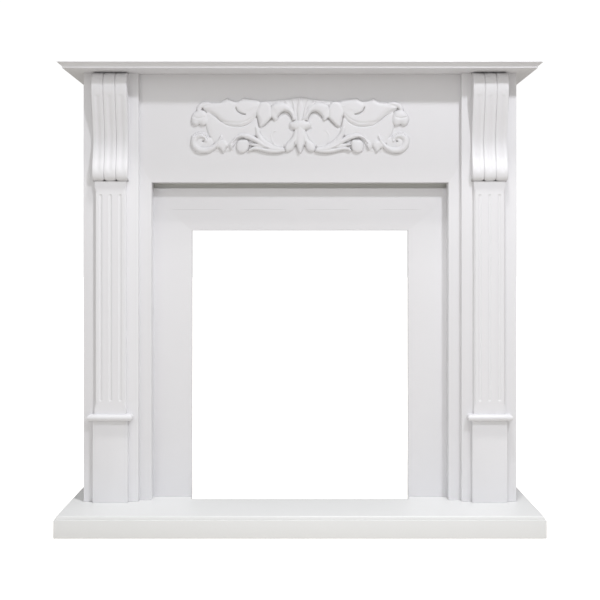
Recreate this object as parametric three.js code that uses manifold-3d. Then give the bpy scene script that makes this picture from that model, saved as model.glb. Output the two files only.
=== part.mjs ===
import * as THREE from 'three';
import { ConvexGeometry } from 'three/addons/geometries/ConvexGeometry.js';
import { mergeVertices } from 'three/addons/utils/BufferGeometryUtils.js';
import Module from 'manifold-3d';

// A white painted fireplace mantelpiece: a slab base, two panelled legs with fluted pilasters and ribbed
// consoles, a plain frieze with a carved acanthus ornament, and a moulded shelf.
// Millimetres, +Z up, the front faces -Y. The origin is on the floor, under the middle of the base.

// Driving dimensions: the base slab.
const BASE_WIDTH = 1200;
const BASE_DEPTH = 400;
const BASE_HEIGHT = 54;
const BASE_EDGE_FACE = 45;
const BASE_EDGE_STEP = 3.6;
const BASE_EDGE_ROUND = 3.8;
const BAY_MARGIN = 46;
const BAY_LIP = 21;

// Driving dimensions: the body between the base and the shelf.
const BODY_INSET = 42;
const BODY_HEIGHT = 1105;
const BODY_SETBACK = 148;
const SIDE_PANEL_THICKNESS = 16;
const LEG_BOARD_WIDTH = 141.5;
const LEG_BOARD_THICKNESS = 15;
const FRAME_THICKNESS = 16;
const FRAME_STILE_WIDTH = 173;
const FRAME_OPENING_HEIGHT = 824;

// Driving dimensions: the surround panel in its recess.
const REVEAL_STRIP_DEPTH = 20;
const REVEAL_STRIP_WIDTH = 36;
const PANEL_THICKNESS = 12;
const PANEL_HEAD_SLOT = 12.5;
const FIRE_OPENING_WIDTH = 568;
const FIRE_OPENING_HEIGHT = 701;
const HEAD_RAIL_THICKNESS = 16;
const HEAD_RAIL_HEIGHT = 70;
const HEAD_RAIL_RISE = 24;

// Driving dimensions: the pilasters on the leg boards.
const PILASTER_INSET = 71;
const PLINTH_WIDTH = 90;
const PLINTH_HEIGHT = 211;
const PLINTH_PROJECTION = 14;
const ASTRAGAL_OVERHANG = 12.5;
const ASTRAGAL_HEIGHT = 16;
const SHAFT_WIDTH = 81;
const SHAFT_HEIGHT = 598;
const SHAFT_PROJECTION = 11;
const FLUTE_COUNT = 3;
const FLUTE_WIDTH = 8.5;
const FLUTE_DEPTH = 3;
const FLUTE_PITCH = 25;
const FLUTE_END_MARGIN = 33;
const CHAMFER_WIDTH = 4;
const CHAMFER_STOP_MARGIN = 12;
const CHAMFER_STOP_LENGTH = 15;

// Driving dimensions: the ribbed consoles.
const CONSOLE_WIDTH = 91;
const CONSOLE_RIB_COUNT = 3;
const CONSOLE_TOP_PROJECTION = 17;
const CONSOLE_CROWN_PROJECTION = 33;
const CONSOLE_WAIST_PROJECTION = 9;
const CONSOLE_HEEL_PROJECTION = 18.5;
const CONSOLE_RIB_ROUND = 4.5;
const CONSOLE_RIB_CHANNEL = 1.6;

// Driving dimensions: the shelf.
const SHELF_THICKNESS = 15;
const SHELF_OVERHANG = 81;
const SHELF_END_OVERHANG = 50;
const SHELF_LIP = 1.8;
const SHELF_LIP_STEP = 1.2;
const SHELF_COVE = 15;

// Driving dimensions: the carved ornament, and how far it stands above the lintel's lower edge.
const ORNAMENT_WIDTH = 567;
const ORNAMENT_HEIGHT = 147;
const ORNAMENT_RELIEF = 14;
const ORNAMENT_MARGIN = 74;

// Worked out from the sizes above: widths, levels, and planes from front to back.
const BODY_WIDTH = BASE_WIDTH - 2 * BODY_INSET;
const SHELF_WIDTH = BODY_WIDTH + 2 * SHELF_END_OVERHANG;
const BAY_WIDTH = FIRE_OPENING_WIDTH + 2 * BAY_MARGIN;
const BASE_FRONT = -BASE_DEPTH / 2;
const WALL_PLANE = BASE_DEPTH / 2;
const SHELF_UNDERSIDE = BASE_HEIGHT + BODY_HEIGHT;
const PLINTH_TOP = BASE_HEIGHT + PLINTH_HEIGHT;
const ASTRAGAL_TOP = PLINTH_TOP + ASTRAGAL_HEIGHT;
const SHAFT_TOP = ASTRAGAL_TOP + SHAFT_HEIGHT;
const CONSOLE_HEIGHT = SHELF_UNDERSIDE - SHAFT_TOP;
const LINTEL_UNDERSIDE = BASE_HEIGHT + FRAME_OPENING_HEIGHT;
const PANEL_TOP = LINTEL_UNDERSIDE - PANEL_HEAD_SLOT;
const LEG_FRONT = BASE_FRONT + BODY_SETBACK;
const FRAME_FRONT = LEG_FRONT + LEG_BOARD_THICKNESS;
const FRAME_BACK = FRAME_FRONT + FRAME_THICKNESS;
const PANEL_FRONT = FRAME_BACK + REVEAL_STRIP_DEPTH;
const PANEL_BACK = PANEL_FRONT + PANEL_THICKNESS;
const SHELF_FRONT = LEG_FRONT - SHELF_OVERHANG;
const OPENING_HALF = BODY_WIDTH / 2 - FRAME_STILE_WIDTH;
const STRIP_OUTER = OPENING_HALF + REVEAL_STRIP_WIDTH;
const PILASTER_CENTRE = BODY_WIDTH / 2 - PILASTER_INSET;

const SIDES = [
  { word: 'left', sign: -1 },
  { word: 'right', sign: 1 },
];

const wasm = await Module();
wasm.setup();

// Satin white paint, a touch warmer on the slab and the panel than on the upper woodwork.
function paint(hex, roughness) {
  return new THREE.MeshStandardMaterial({ color: hex, roughness, metalness: 0 });
}

const BODY_PAINT = paint('#eeeef0', 0.45);
const BASE_PAINT = paint('#f0f0ee', 0.42);
const CARVED_PAINT = paint('#eeeef1', 0.5);
const RAW_BOARD = paint('#a89a86', 0.85);

function named(name, geometry, material) {
  const mesh = new THREE.Mesh(geometry, material);
  mesh.name = name;
  return mesh;
}

// A board given by its limits along X, Y and Z.
function board(name, x, y, z, material) {
  const geometry = new THREE.BoxGeometry(x[1] - x[0], y[1] - y[0], z[1] - z[0]);
  const mesh = named(name, geometry, material);
  mesh.position.set((x[0] + x[1]) / 2, (y[0] + y[1]) / 2, (z[0] + z[1]) / 2);
  return mesh;
}

// A board of any outline in the X-Z plane, from its front plane to its back plane.
function outlineBoard(name, outline, front, back, material) {
  const shape = new THREE.Shape(outline.map(([x, z]) => new THREE.Vector2(x, z)));
  const geometry = new THREE.ExtrudeGeometry(shape, { depth: back - front, bevelEnabled: false });
  const mesh = named(name, geometry, material);
  mesh.rotation.x = Math.PI / 2;
  mesh.position.y = back;
  return mesh;
}

// An outline like an upturned U: a board with an opening cut up from its lower edge.
function archOutline(halfWidth, bottom, top, openingHalf, openingTop) {
  return [
    [-halfWidth, bottom],
    [-openingHalf, bottom],
    [-openingHalf, openingTop],
    [openingHalf, openingTop],
    [openingHalf, bottom],
    [halfWidth, bottom],
    [halfWidth, top],
    [-halfWidth, top],
  ];
}

// A closed solid through rings of points that follow each other, each ring the same count of points.
function solidThroughRings(rings, capOutlines) {
  const count = rings[0].length;
  const vertices = rings.flat().flatMap((point) => [point.x, point.y, point.z]);
  const triangles = [];
  for (let ring = 0; ring < rings.length - 1; ring += 1) {
    for (let index = 0; index < count; index += 1) {
      const next = (index + 1) % count;
      const a = ring * count + index;
      const b = ring * count + next;
      triangles.push(a, b, b + count);
      triangles.push(a, b + count, a + count);
    }
  }
  const lastRing = (rings.length - 1) * count;
  const closeWith = (outline, first, isEnd) => {
    const keepsOrder = (THREE.ShapeUtils.area(outline) > 0) === isEnd;
    THREE.ShapeUtils.triangulateShape(outline, []).forEach(([a, b, c]) => {
      triangles.push(first + a, first + (keepsOrder ? b : c), first + (keepsOrder ? c : b));
    });
  };
  closeWith(capOutlines[0], 0, false);
  closeWith(capOutlines[1], lastRing, true);
  const geometry = new THREE.BufferGeometry();
  geometry.setAttribute('position', new THREE.Float32BufferAttribute(vertices, 3));
  geometry.setIndex(triangles);
  geometry.computeVertexNormals();
  return geometry;
}

// Level rings stacked upward: each ring is a list of [x, y] points, anticlockwise seen from above.
function stackedSolid(levels) {
  const rings = levels.map(({ z, outline }) => outline.map(([x, y]) => new THREE.Vector3(x, y, z)));
  const caps = [levels[0], levels[levels.length - 1]].map(({ outline }) => (
    outline.map(([x, y]) => new THREE.Vector2(x, y))
  ));
  return solidThroughRings(rings, caps);
}

// A geometry as a solid that can be joined and cut.
function toSolid(geometry) {
  const bare = geometry.clone();
  bare.deleteAttribute('normal');
  bare.deleteAttribute('uv');
  const merged = mergeVertices(bare, 1e-4);
  return new wasm.Manifold(new wasm.Mesh({
    numProp: 3,
    vertProperties: new Float32Array(merged.attributes.position.array),
    triVerts: new Uint32Array(merged.index.array),
  }));
}

function fromSolid(solid) {
  const mesh = solid.getMesh();
  const geometry = new THREE.BufferGeometry();
  geometry.setAttribute('position', new THREE.Float32BufferAttribute(mesh.vertProperties, 3));
  geometry.setIndex(Array.from(mesh.triVerts));
  geometry.computeVertexNormals();
  return geometry;
}

// The slab: square faces, then a small step and a round along the front and side edges of the top. A bay
// is open behind the panel, for the fire that stands there, and its mouth is as wide as the fire opening.
function baseSlab() {
  const roundSteps = 4;
  const bayHalf = BAY_WIDTH / 2;
  const mouthHalf = FIRE_OPENING_WIDTH / 2;
  const mouthFront = PANEL_FRONT - BAY_LIP;
  const roundHeight = BASE_HEIGHT - BASE_EDGE_FACE;
  const ring = (z, inset) => {
    const half = BASE_WIDTH / 2 - inset;
    const outline = [
      [-half, BASE_FRONT + inset],
      [half, BASE_FRONT + inset],
      [half, WALL_PLANE],
      [bayHalf, WALL_PLANE],
      [bayHalf, PANEL_BACK],
      [mouthHalf, PANEL_BACK],
      [mouthHalf, mouthFront],
      [-mouthHalf, mouthFront],
      [-mouthHalf, PANEL_BACK],
      [-bayHalf, PANEL_BACK],
      [-bayHalf, WALL_PLANE],
      [-half, WALL_PLANE],
    ];
    return { z, outline };
  };
  const levels = [ring(0, 0), ring(BASE_EDGE_FACE, 0)];
  for (let step = 0; step <= roundSteps; step += 1) {
    const turn = (step / roundSteps) * (Math.PI / 2);
    const inset = BASE_EDGE_STEP + BASE_EDGE_ROUND * (1 - Math.cos(turn));
    levels.push(ring(BASE_EDGE_FACE + roundHeight * Math.sin(turn), inset));
  }
  return named('base', stackedSolid(levels), BASE_PAINT);
}

// The shelf: a thin lip above a hollow cove along the front and both ends, square at the wall.
function mantelShelf() {
  const coveSteps = 6;
  const coveHeight = SHELF_THICKNESS - SHELF_LIP;
  const top = SHELF_UNDERSIDE + SHELF_THICKNESS;
  const ring = (z, inset) => {
    const half = SHELF_WIDTH / 2 - inset;
    const front = SHELF_FRONT + inset;
    return { z, outline: [[-half, front], [half, front], [half, WALL_PLANE], [-half, WALL_PLANE]] };
  };
  const levels = [];
  for (let step = 0; step <= coveSteps; step += 1) {
    const turn = (step / coveSteps) * (Math.PI / 2);
    const inset = SHELF_LIP_STEP + SHELF_COVE * Math.cos(turn);
    levels.push(ring(SHELF_UNDERSIDE + coveHeight * Math.sin(turn), inset));
  }
  levels.push(ring(top - SHELF_LIP, 0), ring(top, 0));
  return named('mantel_shelf', stackedSolid(levels), BODY_PAINT);
}

// The boards of the body: the frame behind the legs, the surround set back in it, and what holds them.
function bodyBoards() {
  const group = new THREE.Group();
  const frame = archOutline(BODY_WIDTH / 2, BASE_HEIGHT, SHELF_UNDERSIDE, OPENING_HALF, LINTEL_UNDERSIDE);
  const fireTop = BASE_HEIGHT + FIRE_OPENING_HEIGHT;
  const surround = archOutline(STRIP_OUTER, BASE_HEIGHT, PANEL_TOP, FIRE_OPENING_WIDTH / 2, fireTop);
  const strips = [FRAME_BACK, PANEL_FRONT];
  const headTop = LINTEL_UNDERSIDE + REVEAL_STRIP_WIDTH;
  const head = [LINTEL_UNDERSIDE, headTop];
  const railTop = LINTEL_UNDERSIDE + HEAD_RAIL_RISE;
  const railDepth = [PANEL_BACK, PANEL_BACK + HEAD_RAIL_THICKNESS];
  const railHeight = [railTop - HEAD_RAIL_HEIGHT, railTop];
  group.add(
    outlineBoard('frame_board', frame, FRAME_FRONT, FRAME_BACK, BODY_PAINT),
    outlineBoard('surround_panel', surround, PANEL_FRONT, PANEL_BACK, BODY_PAINT),
    board('reveal_strip_head', [-OPENING_HALF, OPENING_HALF], strips, head, BODY_PAINT),
    board('head_rail', [-STRIP_OUTER, STRIP_OUTER], railDepth, railHeight, RAW_BOARD),
  );
  SIDES.forEach(({ word, sign }) => {
    const span = (inner, outer) => [sign * inner, sign * outer].sort((a, b) => a - b);
    const outer = BODY_WIDTH / 2;
    const leg = span(outer - LEG_BOARD_WIDTH, outer);
    const side = span(outer - SIDE_PANEL_THICKNESS, outer);
    const strip = span(OPENING_HALF, STRIP_OUTER);
    const height = [BASE_HEIGHT, SHELF_UNDERSIDE];
    group.add(
      board(`leg_board_${word}`, leg, [LEG_FRONT, FRAME_FRONT], height, BODY_PAINT),
      board(`side_panel_${word}`, side, [FRAME_BACK, WALL_PLANE], height, BODY_PAINT),
      board(`reveal_strip_${word}`, strip, strips, [BASE_HEIGHT, headTop], BODY_PAINT),
    );
  });
  return group;
}

// The half-round moulding that wraps the front and both sides of a pilaster, over its plinth block.
function astragal(name) {
  const steps = 8;
  const radius = ASTRAGAL_HEIGHT / 2;
  const halfWidth = PLINTH_WIDTH / 2 + ASTRAGAL_OVERHANG;
  const front = LEG_FRONT - PLINTH_PROJECTION - ASTRAGAL_OVERHANG;
  const levels = [];
  for (let step = 0; step <= steps; step += 1) {
    const turn = (step / steps) * Math.PI;
    const inset = radius * (1 - Math.sin(turn));
    const outline = [
      [-halfWidth + inset, front + inset],
      [halfWidth - inset, front + inset],
      [halfWidth - inset, LEG_FRONT],
      [-halfWidth + inset, LEG_FRONT],
    ];
    levels.push({ z: PLINTH_TOP + radius * (1 - Math.cos(turn)), outline });
  }
  return named(name, stackedSolid(levels), BODY_PAINT);
}

// A round-nosed cutter for one flute, upright, as deep as the flute in the shaft's face.
function fluteCutter(x) {
  const radius = (FLUTE_WIDTH ** 2 / 4 + FLUTE_DEPTH ** 2) / (2 * FLUTE_DEPTH);
  const endReach = Math.sqrt(radius ** 2 - (radius - FLUTE_DEPTH) ** 2);
  const length = SHAFT_HEIGHT - 2 * (FLUTE_END_MARGIN + endReach);
  const capsule = new THREE.CapsuleGeometry(radius, length, 3, 12);
  capsule.rotateX(Math.PI / 2);
  const middle = ASTRAGAL_TOP + SHAFT_HEIGHT / 2;
  capsule.translate(x, LEG_FRONT - SHAFT_PROJECTION - radius + FLUTE_DEPTH, middle);
  return toSolid(capsule);
}

// A cutter for the chamfer on one upright edge, running out to nothing above and below.
function chamferCutter(sign) {
  const past = 1;
  const edgeX = sign * (SHAFT_WIDTH / 2 + past);
  const edgeY = LEG_FRONT - SHAFT_PROJECTION - past;
  const reach = CHAMFER_WIDTH + 2 * past;
  const low = ASTRAGAL_TOP + CHAMFER_STOP_MARGIN;
  const high = SHAFT_TOP - CHAMFER_STOP_MARGIN;
  const points = [new THREE.Vector3(edgeX, edgeY, low), new THREE.Vector3(edgeX, edgeY, high)];
  [low + CHAMFER_STOP_LENGTH, high - CHAMFER_STOP_LENGTH].forEach((z) => {
    points.push(new THREE.Vector3(edgeX, edgeY, z));
    points.push(new THREE.Vector3(edgeX - sign * reach, edgeY, z));
    points.push(new THREE.Vector3(edgeX, edgeY + reach, z));
  });
  return toSolid(new ConvexGeometry(points));
}

// The pilaster's shaft: a flat board with round-nosed flutes and stopped chamfers.
function pilasterShaft(name) {
  const blank = new THREE.BoxGeometry(SHAFT_WIDTH, SHAFT_PROJECTION, SHAFT_HEIGHT);
  blank.translate(0, LEG_FRONT - SHAFT_PROJECTION / 2, ASTRAGAL_TOP + SHAFT_HEIGHT / 2);
  let shaft = toSolid(blank);
  for (let flute = 0; flute < FLUTE_COUNT; flute += 1) {
    shaft = shaft.subtract(fluteCutter((flute - (FLUTE_COUNT - 1) / 2) * FLUTE_PITCH));
  }
  [-1, 1].forEach((sign) => {
    shaft = shaft.subtract(chamferCutter(sign));
  });
  return named(name, fromSolid(shaft), BODY_PAINT);
}

// How far a console stands off the leg board at a share of its height, from its foot (0) to its top (1).
function consoleProjection(share) {
  const knots = [
    [0, SHAFT_PROJECTION],
    [0.012, SHAFT_PROJECTION + 0.55 * (CONSOLE_HEEL_PROJECTION - SHAFT_PROJECTION)],
    [0.045, SHAFT_PROJECTION + 0.93 * (CONSOLE_HEEL_PROJECTION - SHAFT_PROJECTION)],
    [0.11, CONSOLE_HEEL_PROJECTION],
    [0.23, CONSOLE_HEEL_PROJECTION + 0.6 * (CONSOLE_WAIST_PROJECTION - CONSOLE_HEEL_PROJECTION)],
    [0.37, CONSOLE_WAIST_PROJECTION],
    [0.5, CONSOLE_WAIST_PROJECTION + 0.2 * (CONSOLE_CROWN_PROJECTION - CONSOLE_WAIST_PROJECTION)],
    [0.66, CONSOLE_WAIST_PROJECTION + 0.66 * (CONSOLE_CROWN_PROJECTION - CONSOLE_WAIST_PROJECTION)],
    [0.8, CONSOLE_WAIST_PROJECTION + 0.97 * (CONSOLE_CROWN_PROJECTION - CONSOLE_WAIST_PROJECTION)],
    [0.86, CONSOLE_CROWN_PROJECTION],
    [0.93, CONSOLE_TOP_PROJECTION + 0.85 * (CONSOLE_CROWN_PROJECTION - CONSOLE_TOP_PROJECTION)],
    [1, CONSOLE_TOP_PROJECTION],
  ];
  const last = knots.length - 1;
  let index = 0;
  while (index < last - 1 && share > knots[index + 1][0]) {
    index += 1;
  }
  const slope = (at) => {
    const before = knots[Math.max(at - 1, 0)];
    const after = knots[Math.min(at + 1, last)];
    return (after[1] - before[1]) / (after[0] - before[0]);
  };
  const [startShare, start] = knots[index];
  const [endShare, end] = knots[index + 1];
  const span = endShare - startShare;
  const t = (share - startShare) / span;
  return (2 * t ** 3 - 3 * t ** 2 + 1) * start
    + (t ** 3 - 2 * t ** 2 + t) * span * slope(index)
    + (3 * t ** 2 - 2 * t ** 3) * end
    + (t ** 3 - t ** 2) * span * slope(index + 1);
}

// How much a rib falls back from its crest at a place across its width (0 to 1): rounded at both edges,
// more so at the ends of the console, with a shallow channel down its middle.
function ribFall(across, share) {
  const endReach = 0.035;
  const extraRoundAtEnds = 0.5;
  const channelStart = [0.03, 0.12];
  const channelEnd = [0.86, 0.92];
  const channelHalfWidth = 0.3;
  const toEdge = Math.min(across, 1 - across) * (CONSOLE_WIDTH / CONSOLE_RIB_COUNT);
  const nearEnds = Math.exp(-share / endReach) + Math.exp(-(1 - share) / endReach);
  const round = CONSOLE_RIB_ROUND * (1 + extraRoundAtEnds * nearEnds);
  const intoRound = Math.max(round - toEdge, 0);
  const edgeFall = round - Math.sqrt(Math.max(round ** 2 - intoRound ** 2, 0));
  const channelLength = THREE.MathUtils.smoothstep(share, ...channelStart)
    * (1 - THREE.MathUtils.smoothstep(share, ...channelEnd));
  const fromMiddle = Math.min(Math.abs(across - 0.5) / channelHalfWidth, 1);
  const channelShape = Math.cos(fromMiddle * (Math.PI / 2)) ** 2;
  return Math.min(edgeFall, CONSOLE_RIB_ROUND) + CONSOLE_RIB_CHANNEL * channelLength * channelShape;
}

// A console: three rounded ribs side by side, swelling at the crown and the heel, thin at the waist.
function ribbedConsole(name) {
  const heightShares = [
    0, 0.008, 0.02, 0.045, 0.09, 0.15, 0.22, 0.3, 0.38, 0.46, 0.55, 0.64, 0.73, 0.82, 0.88, 0.94, 1,
  ];
  const acrossShares = [0, 0.05, 0.15, 0.34, 0.5, 0.66, 0.85, 0.95];
  const ribWidth = CONSOLE_WIDTH / CONSOLE_RIB_COUNT;
  const levels = heightShares.map((share) => {
    const outline = [];
    const place = (rib, across) => {
      const x = (rib + across) * ribWidth - CONSOLE_WIDTH / 2;
      outline.push([x, LEG_FRONT - consoleProjection(share) + ribFall(across, share)]);
    };
    for (let rib = 0; rib < CONSOLE_RIB_COUNT; rib += 1) {
      acrossShares.forEach((across) => place(rib, across));
    }
    place(CONSOLE_RIB_COUNT - 1, 1);
    outline.push([CONSOLE_WIDTH / 2, LEG_FRONT], [-CONSOLE_WIDTH / 2, LEG_FRONT]);
    return { z: SHAFT_TOP + share * CONSOLE_HEIGHT, outline };
  });
  return named(name, stackedSolid(levels), CARVED_PAINT);
}

// One pilaster with its console, on the leg board of its side.
function pilaster({ word, sign }) {
  const group = new THREE.Group();
  const width = [-PLINTH_WIDTH / 2, PLINTH_WIDTH / 2];
  const depth = [LEG_FRONT - PLINTH_PROJECTION, LEG_FRONT];
  group.add(
    board(`plinth_block_${word}`, width, depth, [BASE_HEIGHT, PLINTH_TOP], BODY_PAINT),
    astragal(`astragal_${word}`),
    pilasterShaft(`pilaster_shaft_${word}`),
    ribbedConsole(`console_${word}`),
  );
  group.position.x = sign * PILASTER_CENTRE;
  return group;
}

// The carving is drawn once, for its left half, on a sheet of its own: the first number of a place is the
// distance from the middle line, the second the height above its lower edge, and then the relief. The
// sheet's own size only sets its shares, so the drawing follows the ornament's width, height and relief.
const SHEET_HALF_WIDTH = 283.5;
const SHEET_HEIGHT = 147;
const SHEET_RELIEF = 14;

// Leaves, each from its root to its tip. left and right say how far the two edges bulge from the straight
// line between them, near the root and near the tip. edge is the height of the edges off the frieze, crest
// how much the back of the leaf rises above them, and sink the share that the root dips.
const LEAVES = {
  band: { root: [78, 54], tip: [250, 56], left: [34, 34], right: [-12, -26], edge: 3, crest: 3 },
  topField: { root: [262, 121], tip: [98, 120], left: [34, 56], right: [-26, -26], edge: 4, crest: 4 },
  stemUp: { root: [40, 6], tip: [112, 68], left: [2, -6], right: [-12, -26], edge: 7, crest: 3.5 },
  stemMiddle: { root: [44, 5], tip: [132, 45], left: [12, 2], right: [-6, -12], edge: 8.5, crest: 3 },
  stemLow: { root: [36, 9], tip: [142, 26], left: [10, 0], right: [-14, -19], edge: 7.5, crest: 3.5 },
  arch: {
    root: [102, 30], tip: [188, 12], left: [28, 54], right: [12, 30], edge: 8.5, crest: 4, sink: 0.2,
  },
  lobeNeck: { root: [112, 28], tip: [152, 32], left: [-1, 4], right: [-10, -14], edge: 7, crest: 3.5 },
  lowTip: { root: [110, 24], tip: [129, 7], left: [4, 2], right: [-8, -6], edge: 7, crest: 3 },
  forkInner: {
    root: [140, 66], tip: [183, 12], left: [10, 30], right: [-8, 6], edge: 5.5, crest: 3.5, sink: 0.5,
  },
  forkMiddle: {
    root: [150, 76], tip: [199, 2], left: [24, 40], right: [-4, 12], edge: 6.5, crest: 4, sink: 0.5,
  },
  forkOuter: {
    root: [164, 82], tip: [216, 10], left: [30, 36], right: [4, 16], edge: 5.5, crest: 4, sink: 0.5,
  },
  voluteNeck: {
    root: [172, 78], tip: [252, 42], left: [20, 30], right: [-4, 2], edge: 4.5, crest: 3.5, sink: 0.4,
  },
  leafRoll: { root: [249, 114], tip: [104, 120], left: [48, 74], right: [30, 54], edge: 8.5, crest: 4 },
  leafBody: { root: [252, 124], tip: [104, 122], left: [38, 58], right: [8, 22], edge: 8, crest: 4 },
  leafTipOuter: {
    root: [236, 112], tip: [191, 144], left: [8, 4], right: [-26, -24], edge: 7.5, crest: 3.5, sink: 0.4,
  },
  leafTipInner: {
    root: [196, 104], tip: [148, 144], left: [8, 6], right: [-24, -22], edge: 8, crest: 3.5, sink: 0.4,
  },
  leafCurlNeck: {
    root: [103, 122], tip: [158, 122], left: [12, 20], right: [-10, -18], edge: 9.5, crest: 3.5,
  },
  drop: { root: [86, 144], tip: [99, 70], left: [28, 20], right: [-22, -24], edge: 8.5, crest: 4 },
  dropSide: { root: [72, 140], tip: [74, 90], left: [14, 14], right: [-14, -14], edge: 9, crest: 4 },
  hook: { root: [13, 85], tip: [66, 88], left: [46, 64], right: [22, 24], edge: 10, crest: 4 },
  crestRib: { root: [7, 88], tip: [17, 136], left: [6, 7], right: [-3, -4], edge: 9, crest: 4 },
  crestLeaf: { root: [10, 88], tip: [34, 142], left: [12, 12], right: [-4, -4], edge: 8, crest: 3.5 },
  petalSide: { root: [12, 58], tip: [33, 6], left: [16, 17], right: [-8, -14], edge: 7.5, crest: 5 },
};

// Leaves on the middle line, drawn whole.
const MIDDLE_LEAVES = {
  palm: { root: [0, 84], tip: [0, 147], left: [10, 12], right: [-10, -12], edge: 8.5, crest: 5 },
  petal: { root: [0, 62], tip: [0, 4], left: [7, 16], right: [-7, -16], edge: 8.5, crest: 5.5 },
};

// Rounded swellings: a centre, two radii and the heights of the edge and of the crest above it.
const SWELLINGS = {
  bellyOuter: { centre: [58, 52], radii: [45, 40], edge: 3.5, crest: 5 },
  bellyInner: { centre: [48, 50], radii: [30, 30], edge: 7, crest: 3.2 },
  lobe: { centre: [149, 19], radii: [14.5, 18], edge: 6.5, crest: 4.5 },
  voluteCore: { centre: [251, 31], radii: [20, 20], edge: 3.5, crest: 3 },
  knob: { centre: [262, 93], radii: [21, 20], edge: 5.5, crest: 5 },
  knobOuter: { centre: [272, 84], radii: [11, 12], edge: 7.5, crest: 4 },
  knobInner: { centre: [249, 83], radii: [10, 11], edge: 7.5, crest: 4 },
  leafCurl: { centre: [147, 120], radii: [19.5, 17.5], edge: 10.5, crest: 3.5 },
  hookHead: { centre: [62, 109], radii: [14.5, 19], edge: 9.5, crest: 4 },
};

const MIDDLE_SWELLINGS = {
  crestField: { centre: [0, 106], radii: [78, 36], edge: 3, crest: 3 },
  boss: { centre: [0, 73], radii: [22, 14.5], edge: 8, crest: 6 },
};

// Scrolls that wind in: radii at the start and at the end, the start angle and the turn in degrees.
const SCROLLS = {
  volute: {
    centre: [251, 31], outer: [31, 11], inner: [15, 3], start: 184, turn: 312, edge: 6.5, crest: 5,
  },
  knobHook: {
    centre: [251, 113], outer: [18, 14], inner: [4.5, 4], start: -20, turn: 215, edge: 7, crest: 3,
  },
};

// The rounded back of a leaf or a scroll, across its width from -1 to 1.
const BACK_PLACES = [-1, -0.5, 0.5, 1];

function backShape(across) {
  const squareness = 2.4;
  return 1 - Math.abs(across) ** squareness;
}

// A place on the sheet, as a point on the frieze of one side.
function onFrieze([out, up], height, sign) {
  return new THREE.Vector3(
    (sign * out * ORNAMENT_WIDTH) / (2 * SHEET_HALF_WIDTH),
    FRAME_FRONT - (height * ORNAMENT_RELIEF) / SHEET_RELIEF,
    LINTEL_UNDERSIDE + ORNAMENT_MARGIN + (up * ORNAMENT_HEIGHT) / SHEET_HEIGHT,
  );
}

// A solid through the cross-sections of a leaf or scroll. Each section is a list of { place, height }.
function solidThroughSections(sections, sign) {
  const rings = sections.map((section) => {
    const first = section[0];
    const last = section[section.length - 1];
    const whole = [...section, { ...last, height: 0 }, { ...first, height: 0 }];
    return whole.map(({ place, height }) => onFrieze(place, height, sign));
  });
  const cap = (ring) => {
    const along = new THREE.Vector3().subVectors(ring[ring.length - 3], ring[0]).setY(0).normalize();
    return ring.map((point) => new THREE.Vector2(along.dot(point), -point.y));
  };
  const geometry = solidThroughRings(rings, [cap(rings[0]), cap(rings[rings.length - 1])]);
  return toSolid(facingOut(geometry));
}

// The same closed geometry with its faces turned to the outside.
function facingOut(geometry) {
  const index = geometry.index.array;
  const positions = geometry.attributes.position;
  const corner = [0, 1, 2].map(() => new THREE.Vector3());
  let volume = 0;
  for (let face = 0; face < index.length; face += 3) {
    corner.forEach((point, place) => point.fromBufferAttribute(positions, index[face + place]));
    volume += corner[0].dot(corner[1].clone().cross(corner[2])) / 6;
  }
  if (volume < 0) {
    for (let face = 0; face < index.length; face += 3) {
      [index[face + 1], index[face + 2]] = [index[face + 2], index[face + 1]];
    }
  }
  return geometry;
}

// A leaf: two bowed edges from the root to the tip, with a rounded back between them.
function leafSolid({ root, tip, left, right, edge, crest, sink = 0 }, sign) {
  const pointWidth = 1;
  const fewestSteps = 3;
  const sheetLengthPerStep = 60;
  const fullness = { towardsRoot: 0.8, flatness: 0.6, end: 0.02 };
  const sinkReach = 0.4;
  const start = new THREE.Vector2(...root);
  const chord = new THREE.Vector2(...tip).sub(start);
  const across = new THREE.Vector2(-chord.y, chord.x).normalize();
  const steps = Math.round(fewestSteps + chord.length() / sheetLengthPerStep);
  const edgeCurve = (bulges, end) => {
    const at = (share, offset) => (
      start.clone().addScaledVector(chord, share).addScaledVector(across, offset)
    );
    return new THREE.CubicBezierCurve(
      at(0, end * pointWidth),
      at(1 / 3, bulges[0]),
      at(2 / 3, bulges[1]),
      at(1, end * pointWidth),
    );
  };
  const leftEdge = edgeCurve(left, 0.5);
  const rightEdge = edgeCurve(right, -0.5);
  const sections = [];
  for (let step = 0; step <= steps; step += 1) {
    const share = step / steps;
    const inside = THREE.MathUtils.clamp(share, fullness.end, 1 - fullness.end);
    const swell = Math.sin(Math.PI * inside ** fullness.towardsRoot) ** fullness.flatness;
    const rise = 1 - sink * (1 - THREE.MathUtils.smoothstep(share, 0, sinkReach));
    const from = rightEdge.getPoint(share);
    const to = leftEdge.getPoint(share);
    sections.push(BACK_PLACES.map((place) => {
      const point = from.clone().lerp(to, (place + 1) / 2);
      return { place: [point.x, point.y], height: edge * rise + crest * swell * backShape(place) };
    }));
  }
  return solidThroughSections(sections, sign);
}

// A scroll: a rounded band that winds in towards its centre.
function scrollSolid({ centre, outer, inner, start, turn, edge, crest }, sign) {
  const steps = 10;
  const tightening = 2.6;
  const sections = [];
  for (let step = 0; step <= steps; step += 1) {
    const share = step / steps;
    const angle = THREE.MathUtils.degToRad(start + turn * share);
    const outerRadius = THREE.MathUtils.lerp(outer[0], outer[1], share ** tightening);
    const innerRadius = THREE.MathUtils.lerp(inner[0], inner[1], share ** tightening);
    sections.push(BACK_PLACES.map((place) => {
      const radius = THREE.MathUtils.lerp(innerRadius, outerRadius, (place + 1) / 2);
      const point = [centre[0] + radius * Math.cos(angle), centre[1] + radius * Math.sin(angle)];
      return { place: point, height: edge + crest * backShape(place) };
    }));
  }
  return solidThroughSections(sections, sign);
}

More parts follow.
